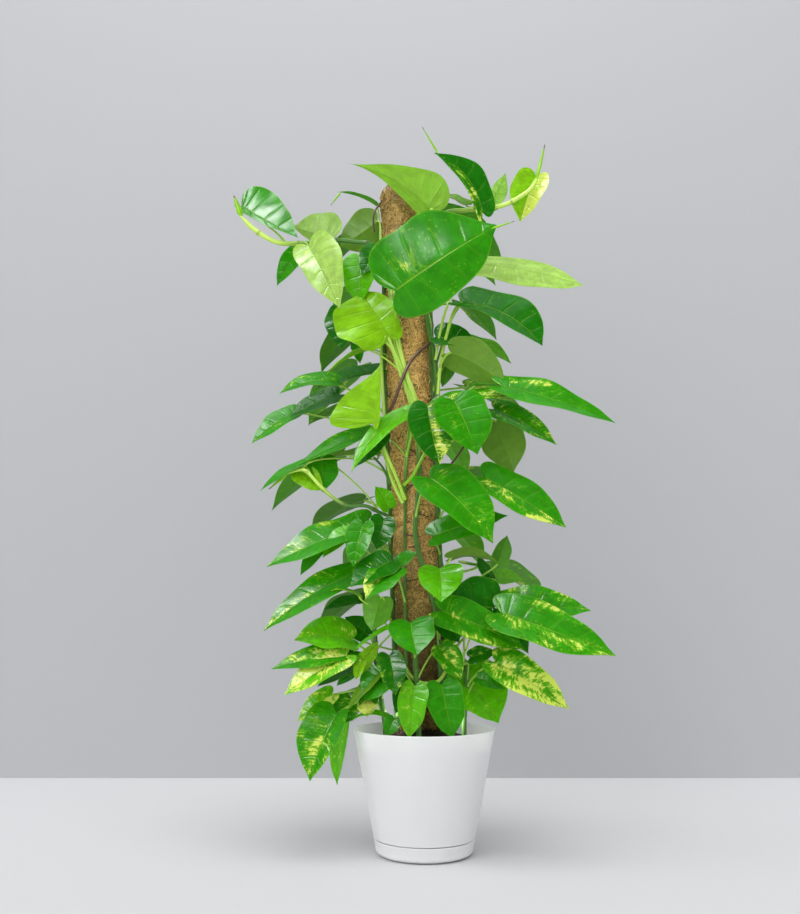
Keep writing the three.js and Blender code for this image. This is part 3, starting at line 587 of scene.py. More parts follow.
def sleeve_radius(z, bearing, settings):
    """The sleeve swells between its bindings, which run round it a little askew."""
    pitch, askew, depth, share = 0.046, 0.006, 0.0022, 0.085
    turn = (z + askew * math.cos(bearing - 50 * z)) / pitch
    pinch = depth * math.exp(-((abs(turn - round(turn)) / share) ** 2))
    spot = Vector((math.cos(bearing) * 0.7, math.sin(bearing) * 0.7, z * 24))
    lumps = 0.0016 * noise.fractal(spot * 1.3, 0.9, 2.0, 4)
    return settings.radius - 0.0010 - pinch + lumps


def sleeve_point(z, bearing, settings, share=1.0, lift=0.0):
    """A point on the sleeve, or at a share of its radius, or lifted off it."""
    reach = sleeve_radius(z, bearing, settings) * share + lift
    return pole_axis(z, settings) + around(bearing) * reach


def make_coir_core(settings):
    """The matted sleeve under the loose fibres: lumpy, domed on top, flat where it ends round the stake."""
    segments, rise, dome = 72, 0.004, 0.02
    low, high = COIR_LOW.z, COIR_HIGH.z - 0.0015
    rings = []
    for level in range(int((high - low) / rise) + 1):
        z = low + rise * level
        crown = max(0.0, (z - (high - dome)) / dome)
        narrow = math.sqrt(max(0.0, 1 - crown**2.2) + 0.002)
        rings.append([sleeve_point(z, math.tau * k / segments, settings, narrow) for k in range(segments)])
    return ringed_mesh("coir_core", rings, caps=True)


def fibre_tree():
    """Loose fibres that lie on a sleeve: short bent strands, turned every way in its surface."""
    tree, inputs, made = geometry_group(
        "Coir fibres", ("Count per area", "Float", 30000.0), ("Length", "Float", 0.024),
        ("Strand radius", "Float", 0.0005), ("Lift", "Float", 0.0018), ("Bend", "Float", 0.010),
        ("Seed", "Int", 1), ("Finish", "Material"),
    )
    length = Field(inputs["Length"])
    strand = step(tree, "CurveQuadraticBezier", {
        "Resolution": 5, "Start": combine(tree, length * -0.5, 0.0, 0.0),
        "Middle": combine(tree, 0.0, inputs["Bend"], Field(inputs["Lift"]) * 2),
        "End": combine(tree, length * 0.5, 0.0, 0.0),
    })
    across = {"Resolution": 3, "Radius": inputs["Strand radius"]}
    section = step(tree, "CurvePrimitiveCircle", across, mode="RADIUS")
    tube = step(tree, "CurveToMesh", {"Curve": strand, "Profile Curve": section, "Fill Caps": True})
    turns = (-0.1, -0.16, -math.pi), (0.1, 0.16, math.pi)
    fibres = scattered(tree, inputs, tube, turns, (0.45, 1.25), 8)
    shaded = stored(tree, fibres, "shade", random_value(tree, 0.0, 1.0, 10), domain="INSTANCE")
    return end_tree(tree, shaded, inputs["Finish"], made)


def tube_tree():
    """Round tubes along edges, as thick as the radius kept on their points."""
    tree, inputs, made = geometry_group("Grown tubes", ("Sides", "Int", 8), ("Finish", "Material"))
    curve = step(tree, "MeshToCurve", {0: inputs["Geometry"]})
    radius = step(tree, "InputNamedAttribute", {"Name": "radius"}, data_type="FLOAT")
    spline = add(tree, "GeometryNodeSplineParameter").outputs
    ring = step(tree, "CurvePrimitiveCircle", {"Resolution": inputs["Sides"], "Radius": 1.0}, mode="RADIUS")
    tube = step(tree, "CurveToMesh", {
        "Curve": stored(tree, curve, "way", spline["Length"]),
        "Profile Curve": stored(tree, ring, "turn", spline["Factor"]), "Scale": radius, "Fill Caps": True,
    })
    smooth = step(tree, "SetShadeSmooth", {"Geometry": tube, "Shade Smooth": True})
    return end_tree(tree, smooth, inputs["Finish"], made)


class Tube(NamedTuple):
    """Points along the middle of a tube in metres, with the radius and colour at each."""

    points: list
    radii: list
    colours: list


def plain_tube(points, radius, colour):
    """A tube with the same radius and colour all along."""
    return Tube(points, [radius] * len(points), [tuple(colour)] * len(points))


def tube_lines(name, tubes):
    """The middle lines of tubes as edges of one mesh, which keeps their radius and colour."""
    points, edges, radii, colours = [], [], [], []
    for tube in tubes:
        first = len(points)
        points += [tuple(p) for p in tube.points]
        edges += [(first + k, first + k + 1) for k in range(len(tube.points) - 1)]
        radii += list(tube.radii)
        colours += [channel for colour in tube.colours for channel in (*colour, 1.0)]
    mesh = bpy.data.meshes.new(name)
    mesh.from_pydata(points, edges, [])
    mesh.attributes.new("radius", "FLOAT", "POINT").data.foreach_set("value", radii)
    mesh.attributes.new("tint", "FLOAT_COLOR", "POINT").data.foreach_set("color", colours)
    return mesh


def thread_lines(settings):
    """The thread that binds the coir: a spiral that wanders a little."""
    low, high = COIR_LOW.z + 0.08, COIR_HIGH.z - 0.012
    steps, turns, radius = 1100, 17, 0.0004
    points = []
    for k in range(steps + 1):
        share = k / steps
        a = 0.4 + math.tau * turns * share + 0.5 * math.sin(share * 40)
        points.append(sleeve_point(low + (high - low) * share, a, settings, lift=radius * 2))
    return tube_lines("binding_thread", [plain_tube(points, radius, settings.thread)])


# ---------------------------------------------------------------------------------------------
# Plant


class Leaf(NamedTuple):
    """One leaf, in millimetres as sighted from in front of the plant.

    Foot and tip are the ends of the blade, width is the full width or the left and right halves, and face
    is the way that the upper side looks (right, forward, up). Late under 1 makes the blade widest nearer its
    tip, and taper slims it towards its tip. Curl bends the tip down, fold lifts the halves into a trough, and
    both are in degrees. Wave is how high the edge waves, and sweep bows the midrib to the left, as shares.
    The stalk starts on the stem at the height in start or nearest to root, stalk is its radius, and drip is
    the end of a long thin tip. Splash is the cream in the left and in the right half, and how far it keeps to
    the tip (1) or the foot (-1).
    """

    foot: tuple
    tip: tuple
    width: object
    face: tuple
    late: float = 1.0
    curl: float = 20
    fold: float = 18
    wave: float = 0.03
    start: float = None
    root: tuple = None
    stalk: float = None
    drip: tuple = None
    sweep: float = None
    taper: float = 0
    tone: str = "mid"
    splash: tuple = (0.02, 0.02, 0)


# The point that the sighted numbers are seen from, which is the camera's place too.
SIGHTING = Vector((-31, -1324, 304))

# Each stem: the points it climbs through as (bearing, height), and then the sighted points of the shoot that
# leaves the pole, or the plain points of a free young stem. A bud is the tip and the radius of a rolled leaf,
# and fresh is the length of a stem's pale end.
STEMS = {
    "left": dict(
        climbs=[(-80, 175), (-86, 300), (-78, 430), (-88, 560), (-80, 680), (-70, 765)],
        shoot=[
            (-70, 803, 26), (-95, 808, 28), (-120, 810, 30), (-165, 806, 34), (-200, 807, 38),
            (-232, 825, 42), (-254, 847, 44),
        ],
        bud=((-263, 876, 46), 4.4),
        branch=[
            (-45, 427, 26), (-60, 433, 30), (-77, 441, 36), (-100, 441, 42), (-120, 452, 46), (-140, 470, 48),
            (-160, 489, 48), (-184, 483, 46),
        ],
        branch_bud=((-206, 463, 44), 2.4), fresh=115,
    ),
    "front_left": dict(
        climbs=[
            (-32, 175), (-30, 300), (-22, 430), (-14, 500), (2, 560), (-4, 600), (-22, 650), (-32, 700),
            (-30, 790),
        ],
        radius=4.4, thin_below=560,
    ),
    "front": dict(
        climbs=[(46, 175), (42, 300), (18, 348), (-1, 400), (6, 440), (14, 475), (12, 530), (10, 556)],
    ),
    "front_right": dict(
        climbs=[(82, 175), (78, 300), (68, 420), (66, 520), (68, 620), (64, 700)],
    ),
    "right": dict(
        climbs=[(118, 175), (112, 300), (104, 430), (102, 560), (100, 690), (86, 790)],
        shoot=[
            (30, 848, 22), (60, 854, 16), (90, 857, 13), (112, 861, 13), (132, 871, 15), (150, 884, 18),
            (161, 900, 20),
        ],
        bud=((173, 952, 17), 2.9), fresh=150,
    ),
    "back_left": dict(climbs=[(-128, 175), (-134, 400), (-128, 600), (-134, 800), (-130, 850)]),
    "back_right": dict(climbs=[(155, 175), (160, 400), (152, 600), (158, 800), (155, 850)]),
    "low_left": dict(
        fresh=0, rises=[(-50, -30, 96), (-50, -30, 160), (-56, -31, 200), (-62, -27, 250), (-64, -21, 292)],
    ),
    "low_front": dict(
        fresh=0, rises=[(-8, -58, 96), (-8, -58, 165), (-10, -56, 200), (-12, -54, 245), (-14, -52, 274)],
    ),
    "low_right": dict(fresh=0, rises=[(50, -26, 96), (50, -26, 165), (53, -27, 200), (55, -25, 240)]),
    "low_back": dict(fresh=0, rises=[(0, 56, 96), (0, 56, 165), (-4, 58, 220), (-2, 60, 262)]),
}
# More stalks and aerial roots of a stem: radius, colour and the sighted points that each runs through.
STRANDS = {
    "left": [
        (1.3, "root", [(-56, 868, 26), (-66, 852, 28), (-68, 838, 28), (-66, 822, 27)]),
        (2.0, "stem", [(-56, 684, 22), (-57, 660, 24), (-55, 610, 28), (-52, 560, 30)]),
        (2.6, "stem", [(-64, 530, 20), (-52, 510, 28), (-43, 480, 32), (-35, 460, 34), (-27, 444, 36)]),
        (1.6, "cane", [(-66, 506, 20), (-54, 492, 28), (-44, 470, 32)]),
    ],
    "front_left": [
        (3.6, "stem", [
            (-44, 745, 26), (-42, 705, 30), (-40, 680, 32), (-33, 650, 34), (-24, 622, 36), (-12, 590, 38),
            (-5, 562, 36),
        ]),
        (2.4, "stem", [(-52, 668, 48), (-42, 655, 42), (-34, 632, 38), (-24, 604, 37), (-14, 570, 36)]),
        (2.1, "root", [
            (20, 672, 2), (12, 666, 22), (2, 658, 33), (-10, 646, 36), (-20, 632, 40), (-30, 608, 42),
            (-42, 575, 40), (-63, 544, 34),
        ]),
    ],
    "front": [
        (2.2, "lime", [(2, 512, 38), (-6, 496, 40), (-15, 480, 40), (-26, 468, 36)]),
        (1.4, "root", [(14, 476, 38), (40, 500, 44), (60, 529, 50)]),
    ],
    "low_front": [
        (2.2, "stem", [(-24, 230, 44), (-12, 215, 50), (5, 210, 52), (20, 214, 48), (30, 228, 40)]),
    ],
    "low_right": [
        (1.5, "stem", [(50, 228, 24), (52, 248, 26), (53, 272, 28)]),
        (1.5, "stem", [(50, 234, 24), (66, 238, 30), (84, 240, 36)]),
        (1.2, "stem", [(49, 238, 24), (56, 256, 28), (64, 278, 30)]),
    ],
    "front_right": [
        (3.6, "cane", [
            (0, 745, 24), (4, 712, 27), (9, 680, 26), (15, 648, 22), (18, 618, 22), (20, 585, 22),
        ]),
        (2.2, "stem", [(20, 592, 28), (25, 640, 32), (34, 680, 34), (44, 710, 32), (54, 721, 31)]),
        (1.8, "stem", [(17, 640, 28), (24, 680, 30), (30, 705, 28), (38, 728, 22)]),
    ],
}
# The radius of most stems, their distance from the sleeve and the height of their feet in the soil.
STEM_RADIUS, STEM_CLEAR, BURIED = 3.4, 0.8, 96
# The distance between a stem's nodes, on old and on young stems.
NODE_GAP, YOUNG_NODE_GAP = 52, 34

LEAVES = {
    # the long shoots at the top left and lower left, and most of the left side
    "left": [
        Leaf((-252, 860, 30), (-172, 814, 54), (44, 9), face=(-0.12, 1, 0.3), curl=4, fold=8, wave=0.05,
             taper=0.35, root=(-190, 806, 38)),
        Leaf((-124, 812, 8), (-180, 830, 4), (36, 12), face=(0.1, -1, 0.2), root=(-122, 810, 30),
             tone="pale"),
        Leaf((-166, 800, 4), (-200, 745, 0), 34, face=(-0.3, 1, 0.2), root=(-150, 808, 34)),
        Leaf((-158, 803, 44), (-113, 712, 66), (38, 26), face=(-0.37, 1, 0.22), fold=12, taper=0.2,
             root=(-165, 806, 34), tone="pale", splash=(0.1, 0.3, -0.3)),
        Leaf((-62, 838, -4), (-114, 800, -8), 60, face=(0.2, -1, 0.3), start=760, tone="olive"),
        Leaf((-62, 860, -4), (-117, 881, 8), 17, face=(0, 0.15, 1), curl=34, fold=30, start=770,
             drip=(-128, 861, 10)),
        Leaf((-116, 610, 24), (-194, 593, 30), 44, face=(0, 0.8, 1), curl=50, start=560, splash=(0, 0.25, 1)),
        Leaf((-58, 626, 8), (-145, 600, 14), 44, face=(0, 0.7, 1), start=580, tone="deep"),
        Leaf((-114, 592, 0), (-180, 561, 8), 46, face=(0, 0.9, 1), curl=12, start=535, tone="deep"),
        Leaf((-171, 569, -12), (-230, 525, 2), 38, face=(-0.2, 1, 0.8), start=515, splash=(0.15, 0.15, 0.5)),
        Leaf((-73, 540, 28), (-164, 497, 40), 42, face=(0, 0.7, 1), start=500, splash=(0.1, 0.1, 0)),
        Leaf((-60, 510, 4), (-128, 506, 10), 22, face=(0, -0.2, 1), start=485, tone="olive"),
        Leaf((-160, 498, 40), (-217, 461, 46), 26, face=(0, 0.5, 1), root=(-150, 480, 48)),
        Leaf((-136, 505, 26), (-134, 459, 34), 44, face=(0.3, 1, 0.3), root=(-60, 433, 30)),
        Leaf((-168, 489, 34), (-132, 461, 38), 32, face=(0, 1, 0.3), root=(-160, 489, 48), tone="lime"),
        Leaf((-46, 438, 34), (-64, 467, 36), 28, face=(0.4, 1, 0.2), start=425, tone="bright"),
        Leaf((-76, 418, 32), (-207, 360, 54), 56, face=(0, 1, 1), wave=0.06, start=365,
             splash=(0.03, 0.32, 0)),
        Leaf((-130, 396, 22), (-162, 349, 28), 24, face=(0, 1, 0.6), start=350),
        Leaf((-80, 417, 58), (-93, 360, 70), 36, face=(-0.2, 1, 0.4), start=370, splash=(0.15, 0.05, 0.3)),
        Leaf((-98, 408, 48), (-133, 372, 56), 28, face=(-0.2, 1, 0.8), start=360, tone="bright"),
        Leaf((-52, 424, 42), (-62, 383, 48), 36, face=(0, 1, 0.3), start=385, tone="deep"),
        Leaf((-92, 352, 30), (-209, 277, 50), 48, face=(0, 1, 1), start=290, splash=(0.1, 0.3, 0.6)),
        Leaf((-84, 322, 48), (-122, 329, 52), 18, face=(0, 0.2, 1), curl=50, start=285, tone="lime"),
        Leaf((-78, 318, 20), (-131, 304, 26), 26, face=(0, 0.7, 1), start=270, tone="deep"),
        Leaf((-56, 320, 40), (-68, 277, 48), 40, face=(0, -1, 0.3), start=270, tone="bright"),
    ],
    # the front, left of the pole's middle
    "front_left": [
        Leaf((-84, 786, 34), (-86, 718, 44), 50, face=(-0.3, 1, 0.5), tone="bright"),
        Leaf((-46, 671, 52), (-84, 736, 40), (52, 24), face=(-0.1, 1, 0.5), curl=26, fold=12, wave=0.07,
             late=0.62, taper=-0.35, start=600, stalk=3.0, tone="lime"),
        Leaf((-70, 655, 46), (-131, 620, 56), 36, face=(0, 0.1, 1), curl=34, start=600, tone="lime"),
        Leaf((-106, 714, 14), (-110, 655, 20), 56, face=(-0.5, 1, 0.1), tone="deep"),
        Leaf((-38, 737, 98), (104, 832, 112), (74, 50), face=(-0.47, 1, -0.24), curl=30, fold=-12, late=0.88,
             sweep=0, start=660, drip=(128, 838, 114), splash=(0.12, 0.03, -0.6)),
        Leaf((-62, 800, 40), (-83, 761, 50), 36, face=(-0.2, 1, 0.2), tone="deep"),
        Leaf((-92, 662, 20), (-85, 635, 26), 16, face=(0, 1, 0.3)),
        Leaf((-66, 552, 66), (-57, 637, 68), (70, 9), face=(-0.3, 1, 0.22), start=446, stalk=3.0, taper=0.9,
             tone="lime"),
        Leaf((-12, 571, 54), (-96, 486, 76), (17, 15), face=(-0.3, 0.9, 0.5), fold=24, sweep=-0.34, start=500,
             tone="bright", splash=(0, 0.2, 0)),
        Leaf((-56, 538, 46), (-92, 492, 62), 36, face=(-0.3, 1, 0.3), start=500, tone="deep"),
        Leaf((-43, 368, 58), (-96, 334, 80), 50, face=(-0.3, 1, 0.8), start=310, tone="deep"),
        Leaf((-41, 358, 64), (-76, 318, 98), (26, 22), face=(-0.3, 1, 0.6), start=310,
             splash=(0.05, 0.45, 0.9)),
        Leaf((-34, 365, 52), (-9, 379, 58), 20, face=(0, 1, 0.6), start=345),
    ],
    # up the front of the pole
    "front": [
        Leaf((42, 584, 90), (73, 510, 104), 74, face=(0.1, 1, 0.5), start=520, splash=(0, 0.1, 0.5)),
        Leaf((6, 578, 78), (22, 496, 88), (34, 28), face=(-0.1, 1, 0.15), start=530, tone="deep",
             splash=(0.56, 0.05, 0)),
        Leaf((8, 479, 78), (92, 391, 108), (44, 36), face=(0.35, 1, 0.6), curl=26, fold=12, start=420,
             splash=(0.25, 0.12, 1)),
        Leaf((21, 358, 64), (23, 314, 100), 58, face=(0, 0.9, 1), start=315, wave=0.08, tone="bright"),
        Leaf((22, 303, 62), (133, 252, 62), 52, face=(0, 1, 0.5), start=262, splash=(0.22, 0.3, 0.2)),
        Leaf((20, 298, 40), (46, 262, 46), 38, face=(0.1, 1, 0.4), start=240, tone="deep"),
    ],
    # the right side, towards the front
    "front_right": [
        Leaf((18, 672, 28), (74, 660, 34), (28, 20), face=(0.1, 1, 0.7), start=640, tone="deep"),
        Leaf((37, 651, 42), (112, 602, 54), (26, 30), face=(0, -1, 0.7), sweep=-0.2, start=590, tone="olive"),
        Leaf((106, 604, 62), (259, 553, 70), 54, face=(0, 1, 0.9), curl=22, wave=0.06, start=540,
             splash=(0.22, 0.03, -1)),
        Leaf((28, 582, 50), (126, 588, 66), 40, face=(0, 0.7, 1), curl=26, start=540, splash=(0.45, 0.3, 1)),
        Leaf((70, 605, 48), (118, 600, 52), 18, face=(0, 0.1, 1), start=560, tone="bright"),
        Leaf((96, 572, 42), (179, 523, 62), 46, face=(0.2, 1, 0.8), start=505, splash=(0.35, 0.3, 0)),
        Leaf((80, 480, 50), (189, 412, 72), 64, face=(0.1, 1, 0.8), curl=22, late=0.85, start=420,
             splash=(0.05, 0.45, 0.4)),
        Leaf((14, 401, 44), (112, 428, 52), 46, face=(0, 1, 0.7), start=370),
        Leaf((35, 372, 40), (99, 364, 52), 34, face=(0, -0.4, 1), curl=62, start=330, tone="olive"),
        Leaf((93, 307, 44), (24, 311, 50), (8, 40), face=(0, 1, 0.3), start=250, tone="deep"),
        Leaf((97, 306, 42), (219, 303, 52), 58, face=(0, 1, 0.7), start=245, splash=(0.3, 0.1, 0)),
        Leaf((100, 301, 66), (250, 245, 88), 68, face=(0, 1, 0.7), curl=16, start=235,
             splash=(0.3, 0.35, 0.3)),
        Leaf((99, 298, 50), (136, 248, 56), 34, face=(0, 1, 0.4), start=230, tone="deep"),
    ],
    # the shoot at the top right and the right side behind it
    "right": [
        Leaf((14, 852, 50), (-108, 924, 66), (50, 22), face=(0.1, -1, 0.3), curl=12, sweep=0.36, taper=1.0,
             root=(28, 846, 22), tone="lime"),
        Leaf((84, 850, 24), (17, 939, 32), (17, 27), face=(0.4, 1, 0.2), late=0.8, fold=20, curl=10,
             sweep=-0.6, drip=(0, 978, 34), root=(58, 853, 16), tone="deep", splash=(0.4, 0.02, -1)),
        Leaf((94, 860, 4), (117, 909, -2), 30, face=(0.5, -1, 0.2), root=(84, 857, 13), tone="lime"),
        Leaf((160, 904, 6), (136, 837, 2), (25, 30), face=(-0.2, 1, 0.1), fold=30, root=(150, 884, 18),
             tone="lime", splash=(1.1, 0, 0)),
        Leaf((62, 862, 0), (26, 876, -12), 34, face=(0, 0.6, 1), root=(74, 856, 14), tone="olive"),
        Leaf((74, 776, -14), (221, 745, 2), (25, 25), face=(0, 0.95, 0.45), late=0.62, curl=10, fold=-14,
             sweep=0.1, start=706, tone="pale"),
        Leaf((54, 722, 30), (163, 660, 52), (42, 28), face=(0.1, 0.9, 0.8), late=0.5, curl=30, sweep=0.35,
             start=622, tone="deep"),
        Leaf((38, 642, 8), (26, 602, 10), 22, face=(0.5, -1, 0.2), start=600),
        Leaf((98, 556, 18), (121, 486, 22), 64, face=(0.2, -1, 0.3), start=500, tone="olive"),
        Leaf((90, 346, 24), (72, 377, 20), 24, face=(-1, 0.4, 0.3), start=290, tone="deep"),
        Leaf((98, 363, 36), (111, 402, 34), 26, face=(0.4, -1, 0), start=300),
        Leaf((92, 348, 12), (130, 343, 8), 26, face=(0, -1, 0.8), start=280, tone="bright"),
    ],
    # young leaves round the left of the pot
    "low_left": [
        Leaf((-40, 283, 58), (-92, 250, 66), 22, face=(-0.3, 0.2, 1), start=250, tone="bright"),
        Leaf((-50, 222, 52), (-76, 188, 64), 46, face=(-0.2, 1, 0.8), start=190),
        Leaf((-70, 194, 42), (-75, 169, 52), 24, face=(0, 1, 0.5), start=175, splash=(0.3, 0.3, 0)),
        Leaf((-47, 168, 52), (-94, 162, 40), 18, face=(0, 0.3, 1), curl=70, start=165, tone="bright"),
        Leaf((-112, 173, 44), (-146, 88, 60), (20, 36), face=(-0.3, 1, 0.4), curl=32, start=190,
             splash=(0.22, 0.36, 0.7)),
        Leaf((-103, 172, -24), (-111, 83, -44), 34, face=(-0.8, 1, 0.2), start=180, tone="bright",
             splash=(0.15, 0.2, 0)),
        Leaf((-118, 197, 24), (-163, 162, 32), 34, face=(-0.1, 1, 0.9), start=195, tone="bright",
             splash=(0.7, 0.45, 0)),
        Leaf((-93, 190, 20), (-114, 158, 28), 38, face=(0, 1, 0.6), start=180, splash=(0.35, 0.35, 0)),
        Leaf((-94, 266, 28), (-169, 265, 38), 66, face=(0, 0.8, 1), curl=40, start=240, tone="bright",
             splash=(0.2, 0.4, 0)),
        Leaf((-92, 252, 40), (-198, 228, 54), 44, face=(0, 0.8, 1), start=225, splash=(0.2, 0.36, 0.5)),
        Leaf((-100, 246, 54), (-181, 195, 68), 44, face=(0, 1, 1), start=215, tone="bright",
             splash=(0.55, 0.75, 0.2)),
        Leaf((-86, 236, 34), (-138, 206, 44), 30, face=(0, 0.7, 1), start=210, tone="deep"),
        Leaf((-88, 226, 22), (-113, 207, 26), 20, face=(0, 0.7, 1), start=205),
        Leaf((-72, 272, 2), (-103, 295, 0), 34, face=(0, 1, 0.5), start=250, tone="deep"),
        Leaf((-84, 230, 44), (-59, 264, 48), 22, face=(0.4, 1, 0.2), start=200, tone="lime"),
        Leaf((-80, 238, 54), (-88, 214, 60), 16, face=(-0.4, 1, 0.4), start=205, tone="lime"),
        Leaf((-55, 227, 50), (-98, 177, 60), 28, face=(-0.5, 0.6, 1), start=200, tone="olive"),
        Leaf((-75, 189, 46), (-73, 168, 50), 26, face=(0, 1, 0.6), curl=120, fold=-20, start=172, tone="pale",
             splash=(0.9, 0.9, 0)),
    ],
    # young leaves at the front of the pot
    "low_front": [
        Leaf((22, 209, 58), (36, 140, 68), 50, face=(0.1, 1, 0.6), start=180),
        Leaf((-12, 207, 66), (-20, 140, 72), 38, face=(0, 1, 0.4), start=182, tone="bright",
             splash=(0.02, 0.3, 0)),
        Leaf((-38, 166, 60), (-47, 144, 64), 22, face=(0, 1, 0.4), start=170),
        Leaf((-45, 246, 62), (-37, 195, 80), 36, face=(0, 1, 0.6), start=205, tone="deep",
             splash=(0.15, 0.15, 1)),
        Leaf((-18, 215, 48), (-37, 172, 56), 30, face=(0, 1, 0.5), start=190, tone="deep"),
        Leaf((-17, 288, 74), (-9, 245, 104), 60, face=(0, 0.9, 1), start=240),
        Leaf((22, 258, 50), (48, 215, 58), 36, face=(0.2, 1, 0.4), start=215, splash=(0.4, 0.4, 0)),
    ],
    # young leaves round the right of the pot
    "low_right": [
        Leaf((92, 238, 58), (187, 178, 80), 56, face=(0, 1, 0.8), start=205, splash=(0.6, 0.6, 0.4)),
        Leaf((60, 243, 36), (94, 250, 42), 24, face=(0, 1, 0.5), start=210, tone="deep",
             splash=(0.3, 0.1, 0.3)),
        Leaf((52, 224, 14), (96, 160, 30), 84, face=(0.3, 1, 0.7), start=185, tone="bright",
             splash=(0.05, 0.2, 0)),
        Leaf((70, 217, 46), (104, 203, 52), 26, face=(0.2, 1, 0.8), start=190),
        Leaf((54, 228, 0), (103, 224, -6), 24, face=(0, 0.5, 1), start=195, tone="deep"),
    ],
}

# The far side, where leaves stand in turn along the back stems and hang outwards. Pairs are (least, range).
BACK = dict(
    count=22, low_count=4, low=205, high=872, length=(62, 66), reach=(70, 42), away=(22, 46),
    droop=(0.25, 0.45), slim=(0.5, 0.12), curl=(24, 20),
)


def sighted(point):
    """The place in millimetres of a point given across, up and forward of the pole's plane."""
    across, up, forward = point
    nearer = 1 + forward / SIGHTING.y
    x, z = (SIGHTING.x + (across - SIGHTING.x) * nearer, SIGHTING.z + (up - SIGHTING.z) * nearer)
    return Vector((x, -forward, z))


def unsighted(point):
    """The sighted numbers of a plain point: the inverse of sighted()."""
    x, y, z = point
    nearer = 1 - y / SIGHTING.y
    return (SIGHTING.x + (x - SIGHTING.x) / nearer, SIGHTING.z + (z - SIGHTING.z) / nearer, -y)


def scatter(n):
    """A repeatable number from 0 to 1 for each whole number."""
    s = math.sin(n * 12.9898) * 43758.5453
    return s - math.floor(s)


def smooth_path(points, per_piece):
    """A centripetal Catmull-Rom curve through points, with the same number of steps in each piece."""
    points = [Vector(p) for p in points]
    ends = [points[0] * 2 - points[1], *points, points[-1] * 2 - points[-2]]
    path = []
    for p0, p1, p2, p3 in zip(ends, ends[1:], ends[2:], ends[3:]):
        d0, d1, d2 = (max((b - a).length, 1e-6) ** 0.5 for a, b in ((p0, p1), (p1, p2), (p2, p3)))
        leave = ((p1 - p0) / d0 - (p2 - p0) / (d0 + d1) + (p2 - p1) / d1) * d1
        reach = ((p2 - p1) / d1 - (p3 - p1) / (d1 + d2) + (p3 - p2) / d2) * d1
        square = p2 * 3 - p1 * 3 - leave * 2 - reach
        cube = p1 * 2 - p2 * 2 + leave + reach
        for t in (k / per_piece for k in range(per_piece)):
            path.append(p1 + leave * t + square * t**2 + cube * t**3)
    return [*path, points[-1]]


def sighted_path(points, per_piece=8):
    return smooth_path([sighted(p) for p in points], per_piece)


def distances(path):
    """How far along a path each of its points lies."""
    return [0.0, *accumulate((b - a).length for a, b in zip(path, path[1:]))]


def bell(distance, width):
    """1 at no distance, and close to 0 from twice the width on."""
    return math.exp(-((distance / width) ** 2))


def clamped(value):
    return min(1.0, max(0.0, value))


def climbing_point(bearing, height, radius, pole):
    """A point on the middle of a climbing stem, at a bearing from the front (+ is to the right)."""
    turn = math.radians(bearing)
    reach = pole.radius / MM + STEM_CLEAR + radius
    return pole_axis(height * MM, pole) / MM + Vector((reach * math.sin(turn), -reach * math.cos(turn), 0))


def stem_path(stem, pole):
    """The middle line of a stem in millimetres: straight up out of the soil, then along its own points."""
    upright, per_piece = 40, 20
    points = [climbing_point(b, z, stem.get("radius", STEM_RADIUS), pole) for b, z in stem.get("climbs", [])]
    if points:
        foot = Vector((points[0].x, points[0].y, BURIED))
        points = [foot, foot + Vector((0, 0, upright)), *points]
    points += [sighted(p) for p in stem.get("shoot", [])] + [Vector(p) for p in stem.get("rises", [])]
    return smooth_path(points, per_piece)


def back_leaves(pole):
    """Leaves for the stems of the far side, by rule."""
    leaves = {"back_left": [], "back_right": [], "low_back": []}

    def some(pair, seed):
        return pair[0] + pair[1] * scatter(seed)

    for i in range(BACK["count"]):
        on_left = i % 2 == 0
        low = i < BACK["low_count"]
        turn = math.radians((-1 if on_left else 1) * (180 - some(BACK["away"], i + 1)))
        length = some(BACK["length"], i + 31)
        z = BACK["low"] + (BACK["high"] - BACK["low"]) * i / (BACK["count"] - 1) + some((-5, 10), i + 61)
        out = Vector((math.sin(turn), -math.cos(turn), 0))
        foot = pole_axis(z * MM, pole) / MM + out * some(BACK["reach"], i + 91)
        tip = foot + out * length - Vector((0, 0, length * some(BACK["droop"], i + 121)))
        leaves["low_back" if low else "back_left" if on_left else "back_right"].append(
            Leaf(
                unsighted(foot), unsighted(tip), length * some(BACK["slim"], i + 151),
                face=(out.x * 0.6, -out.y * 0.6, 1), curl=some(BACK["curl"], i + 181),
                start=200 + 14 * i if low else None, tone=("deep", "mid", "mid", "bright")[i % 4],
                splash=(0.5 * scatter(i + 211) ** 2, 0.5 * scatter(i + 241) ** 2, 0),
            )
        )
    return leaves


class Sheet:
    """Where a leaf's blade stands and how it bends, in millimetres."""

    def __init__(self, leaf):
        self.halves = leaf.width if isinstance(leaf.width, tuple) else (leaf.width / 2, leaf.width / 2)
        self.start = sighted(leaf.foot)
        chord = sighted(leaf.tip) - self.start
        self.length = chord.length
        self.along = chord.normalized()
        up = Vector((leaf.face[0], -leaf.face[1], leaf.face[2]))
        self.up = (up - self.along * up.dot(self.along)).normalized()
        self.bend = math.radians(leaf.curl)
        self.rise = math.radians(leaf.fold)
        seed = math.floor(leaf.foot[0] + 3 * leaf.foot[1] + 0.5)
        self.sweep = 0.2 * (scatter(seed + 7) - 0.5) if leaf.sweep is None else leaf.sweep
        self.phase = scatter(seed)

    def above(self, share):
        """The way up from the blade at a share of its length."""
        t = self.bend * (share - 0.5)
        return self.along * math.sin(t) + self.up * math.cos(t)

    def midrib(self, share):
        """The point of the midrib at a share of its length."""
        radius = self.length / (2 * math.sin(self.bend / 2))
        t = self.bend * (share - 0.5)
        return (
            self.start
            + self.along * radius * (math.sin(t) + math.sin(self.bend / 2))
            + self.up * radius * (math.cos(t) - math.cos(self.bend / 2))
            + self.up.cross(self.along) * self.length * self.sweep * (share - share**2)
        )


